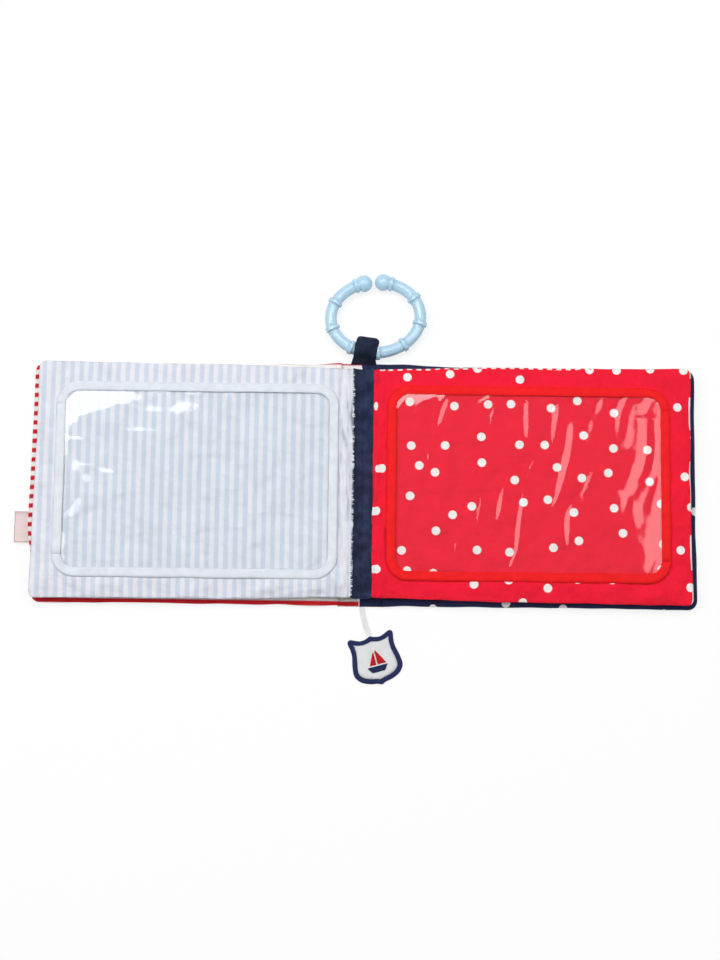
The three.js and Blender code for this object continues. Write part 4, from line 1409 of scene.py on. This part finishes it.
class ALBUM_OT_tag(bpy.types.Operator):
    """Makes the white ribbon and the shield patch with its overlocked border and boat"""

    bl_idname = "album.tag"
    bl_label = "Tag"

    def execute(self, context):
        self.ribbon()
        left = [(-x * PATCH_WIDTH / 2, -y * PATCH_HEIGHT - PATCH_DROP, 0) for x, y in PATCH_OUTLINE]
        right = [(-x, y, z) for x, y, z in left[-2:0:-1]]
        outer = smooth_line(left + right, 120, closed=True)
        way = np.roll(outer, -1, axis=0) - np.roll(outer, 1, axis=0)
        way /= np.linalg.norm(way, axis=1, keepdims=True)
        inward = np.stack([-way[:, 1], way[:, 0], way[:, 2]], axis=1)
        inner = outer + inward * PATCH_BORDER
        for _ in range(10):
            inner = (np.roll(inner, 1, axis=0) + 2 * inner + np.roll(inner, -1, axis=0)) / 4
        self.border(outer, inner, context.scene.album_sizes)
        self.field(outer, inner)
        self.boat()
        return {"FINISHED"}

    def ribbon(self):
        """The narrow ribbon, swaying and curled a little at its edges."""
        grid = np.zeros((RIBBON_ROWS, RIBBON_COLUMNS, 3))
        for k, y in enumerate(np.linspace(*RIBBON_ENDS, RIBBON_ROWS)):
            share = k / (RIBBON_ROWS - 1)
            sway = RIBBON_SWAY * math.sin(share * math.pi)
            for i, s in enumerate(np.linspace(-1, 1, RIBBON_COLUMNS)):
                curl = 0.22 * MM * s * s + 0.12 * MM * math.sin(share * 7 + s)
                grid[k, i] = (RIBBON_HALF * s + sway, y, RIBBON_Z + curl)
        points, faces = thick_sheet(grid, RIBBON_THICKNESS)
        piece = make_piece("white_tag_ribbon", on_tag(points), faces, [LOOKS["white_ribbon"]])
        soften(piece)
        place_on(piece, "ribbon", "white_ribbon", "tag_ribbon")

    def border(self, outer, inner, sizes):
        """The patch's round rim, and the overlocked threads across it."""
        points = []
        for a, b in zip(outer, inner):
            points.extend((*(a + (b - a) * share)[:2], z * MM) for share, z in BORDER_SECTION)
        faces = loft(len(outer), len(BORDER_SECTION), closed=True)
        piece = make_piece("patch_rim", on_tag(points), faces, [LOOKS["navy_thread"]])
        place_on(piece, "patch", "navy_thread", "patch_border")
        middle = (outer + inner) / 2
        middle[:, 2] = OVERLOCK_Z
        line = on_tag(np.concatenate([middle, middle[:1]]))
        overlock = {"Spacing": sizes.overlock_gap, "Length": 0.66 * MM, "Width": PATCH_BORDER * 1.02}
        overlock.update({"Height": 0.95 * MM, "Unevenness": 0.06, "Seed": 11})
        threads = sew("patch_overlock", [line], "navy_thread", overlock)
        place_on(threads, "patch", "navy_thread")

    def field(self, outer, inner):
        """The patch's slightly domed twill, which ends under the rim."""
        edge = outer + (inner - outer) * 0.9
        centre = edge.mean(axis=0)
        count = len(edge)
        points = []
        for share in FIELD_RINGS:
            height = (FIELD_TOP - FIELD_FALL * share ** 4) * MM
            points.extend((p[0], p[1], height) for p in centre + (edge - centre) * share)
        top = len(points)
        points.append((centre[0], centre[1], FIELD_TOP * MM))
        faces = loft(len(FIELD_RINGS), count)
        first = top - count
        faces.extend((first + i, first + (i + 1) % count, top) for i in range(count))
        under = len(points)
        points.extend((p[0], p[1], FIELD_UNDER) for p in edge)
        for i in range(count):
            j = (i + 1) % count
            faces.append((under + i, under + j, j, i))
        faces.append(tuple(under + i for i in range(count)))
        piece = make_piece("patch_ground", on_tag(points), faces, [LOOKS["patch_twill"]])
        place_on(piece, "patch", "patch_twill", "patch_field")

    def boat(self):
        """Satin-stitched hull and sails, one thread beside the other."""
        shapes = [
            ("hull", [(-6, -17.4), (-3.6, -20.8), (3.6, -20.8), (6, -17.4)], "navy_thread", False),
            ("main_sail", [(0.4, -16.6), (5.4, -16.6), (0.4, -7.6)], "red_thread", True),
            ("fore_sail", [(-0.4, -16.6), (-0.4, -8.4), (-4.2, -16.6)], "red_thread", True),
        ]
        thread = {"Spacing": 0.3 * MM, "Length": 0.5 * MM, "Width": 0.5 * MM, "Height": 0.55 * MM}
        for name, corners, slot, level in shapes:
            lines = self.fill(corners, level)
            piece = sew(f"boat_{name}", lines, slot, {**thread, "Unevenness": 0.05, "Seed": 3})
            place_on(piece, "patch", slot, f"motif_{name}")

    def fill(self, corners, level):
        """Lines across a shape, about half a millimetre apart, level or upright."""
        shape = np.array(corners, float)
        u, v = (0, 1) if level else (1, 0)
        lines = []
        for at in np.arange(shape[:, v].min() + SATIN_FIRST, shape[:, v].max() - SATIN_LAST, SATIN_GAP):
            hits = []
            for a, b in zip(shape, np.roll(shape, -1, axis=0)):
                if (a[v] - at) * (b[v] - at) < 0:
                    hits.append(a[u] + (b[u] - a[u]) * (at - a[v]) / (b[v] - a[v]))
            if len(hits) == 2 and abs(hits[0] - hits[1]) > SATIN_LEAST:
                start, end = sorted(hits)
                row = []
                for t in np.linspace(start + SATIN_END, end - SATIN_END, 4):
                    x, y = (t, at) if level else (at, t)
                    row.append((x * MM, y * MM - PATCH_DROP, SATIN_Z))
                lines.append(on_tag(row))
        return lines


# Tab

TAB_THICKNESS = 0.3 * MM
# How far the tab runs into the seam, and where it is straight, bends and is folded
TAB_IN_SEAM = 0.9 * MM
TAB_STRAIGHT = 4 * MM
TAB_BEND = 1.0 * MM
TAB_FOLD = 0.35 * MM


class ALBUM_OT_tab(bpy.types.Operator):
    """Makes the folded woven tab in the front cover's fore-edge"""

    bl_idname = "album.tab"
    bl_label = "Woven tab"

    def execute(self, context):
        low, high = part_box("edge_tab")
        middle = (low.z + high.z) / 2
        seam = high.x + TAB_IN_SEAM
        straight = low.x + TAB_STRAIGHT
        bend = low.x + TAB_BEND
        outline = [(seam, 0.38), (straight, 0.36), (bend, 0.3), (low.x + TAB_FOLD, 0.0)]
        outline += [(bend, -0.3), (straight, -0.34), (seam, -0.36)]
        line = smooth_line([(x, 0, middle + z * MM) for x, z in outline], 44)
        rows = np.linspace(low.y - 0.8 * MM, high.y - 2 * MM, 20)
        grid = np.zeros((len(line), len(rows), 3))
        for k, (x, _, z) in enumerate(line):
            out = (high.x - x) / (high.x - low.x)
            for i, y in enumerate(rows):
                bow = 0.35 * MM * out * wander(y / (8 * MM), 0.3, 6.6)
                grid[k, i] = (x, y, z + bow)
        points, faces = thick_sheet(grid, TAB_THICKNESS)
        piece = make_piece("woven_edge_tab", points, faces, [LOOKS["tab"]])
        place_on(piece, "tab", "woven_tab", "edge_tab")
        return {"FINISHED"}


class ALBUM_PT_sidebar(bpy.types.Panel):
    """Lists the album's pieces, sizes and colours"""

    bl_idname = "ALBUM_PT_sidebar"
    bl_label = "Fabric photo album"
    bl_space_type = "VIEW_3D"
    bl_region_type = "UI"
    bl_category = "Album"

    def draw(self, context):
        for step in STEPS:
            self.layout.operator(step.bl_idname)
        for group in (context.scene.album_sizes, context.scene.album_colours):
            box = self.layout.box()
            for name in group.__annotations__:
                box.prop(group, name)


STEPS = (
    ALBUM_OT_stage,
    ALBUM_OT_ring,
    ALBUM_OT_loop,
    ALBUM_OT_panels,
    ALBUM_OT_spine,
    ALBUM_OT_pockets,
    ALBUM_OT_stitches,
    ALBUM_OT_tag,
    ALBUM_OT_tab,
)
CLASSES = (AlbumColours, AlbumSizes, *STEPS, ALBUM_PT_sidebar)


def register():
    """Makes the classes known to Blender, with their settings on the scene."""
    for kind in CLASSES:
        bpy.utils.register_class(kind)
    bpy.types.Scene.album_colours = bpy.props.PointerProperty(type=AlbumColours)
    bpy.types.Scene.album_sizes = bpy.props.PointerProperty(type=AlbumSizes)


def unregister():
    """Undoes register."""
    del bpy.types.Scene.album_sizes
    del bpy.types.Scene.album_colours
    for kind in reversed(CLASSES):
        bpy.utils.unregister_class(kind)


def main():
    """Makes the looks, then every piece."""
    register()
    make_looks(bpy.context.scene)
    for step in STEPS:
        getattr(bpy.ops.album, step.bl_idname.split(".")[1])()


if __name__ == "__main__":
    main()
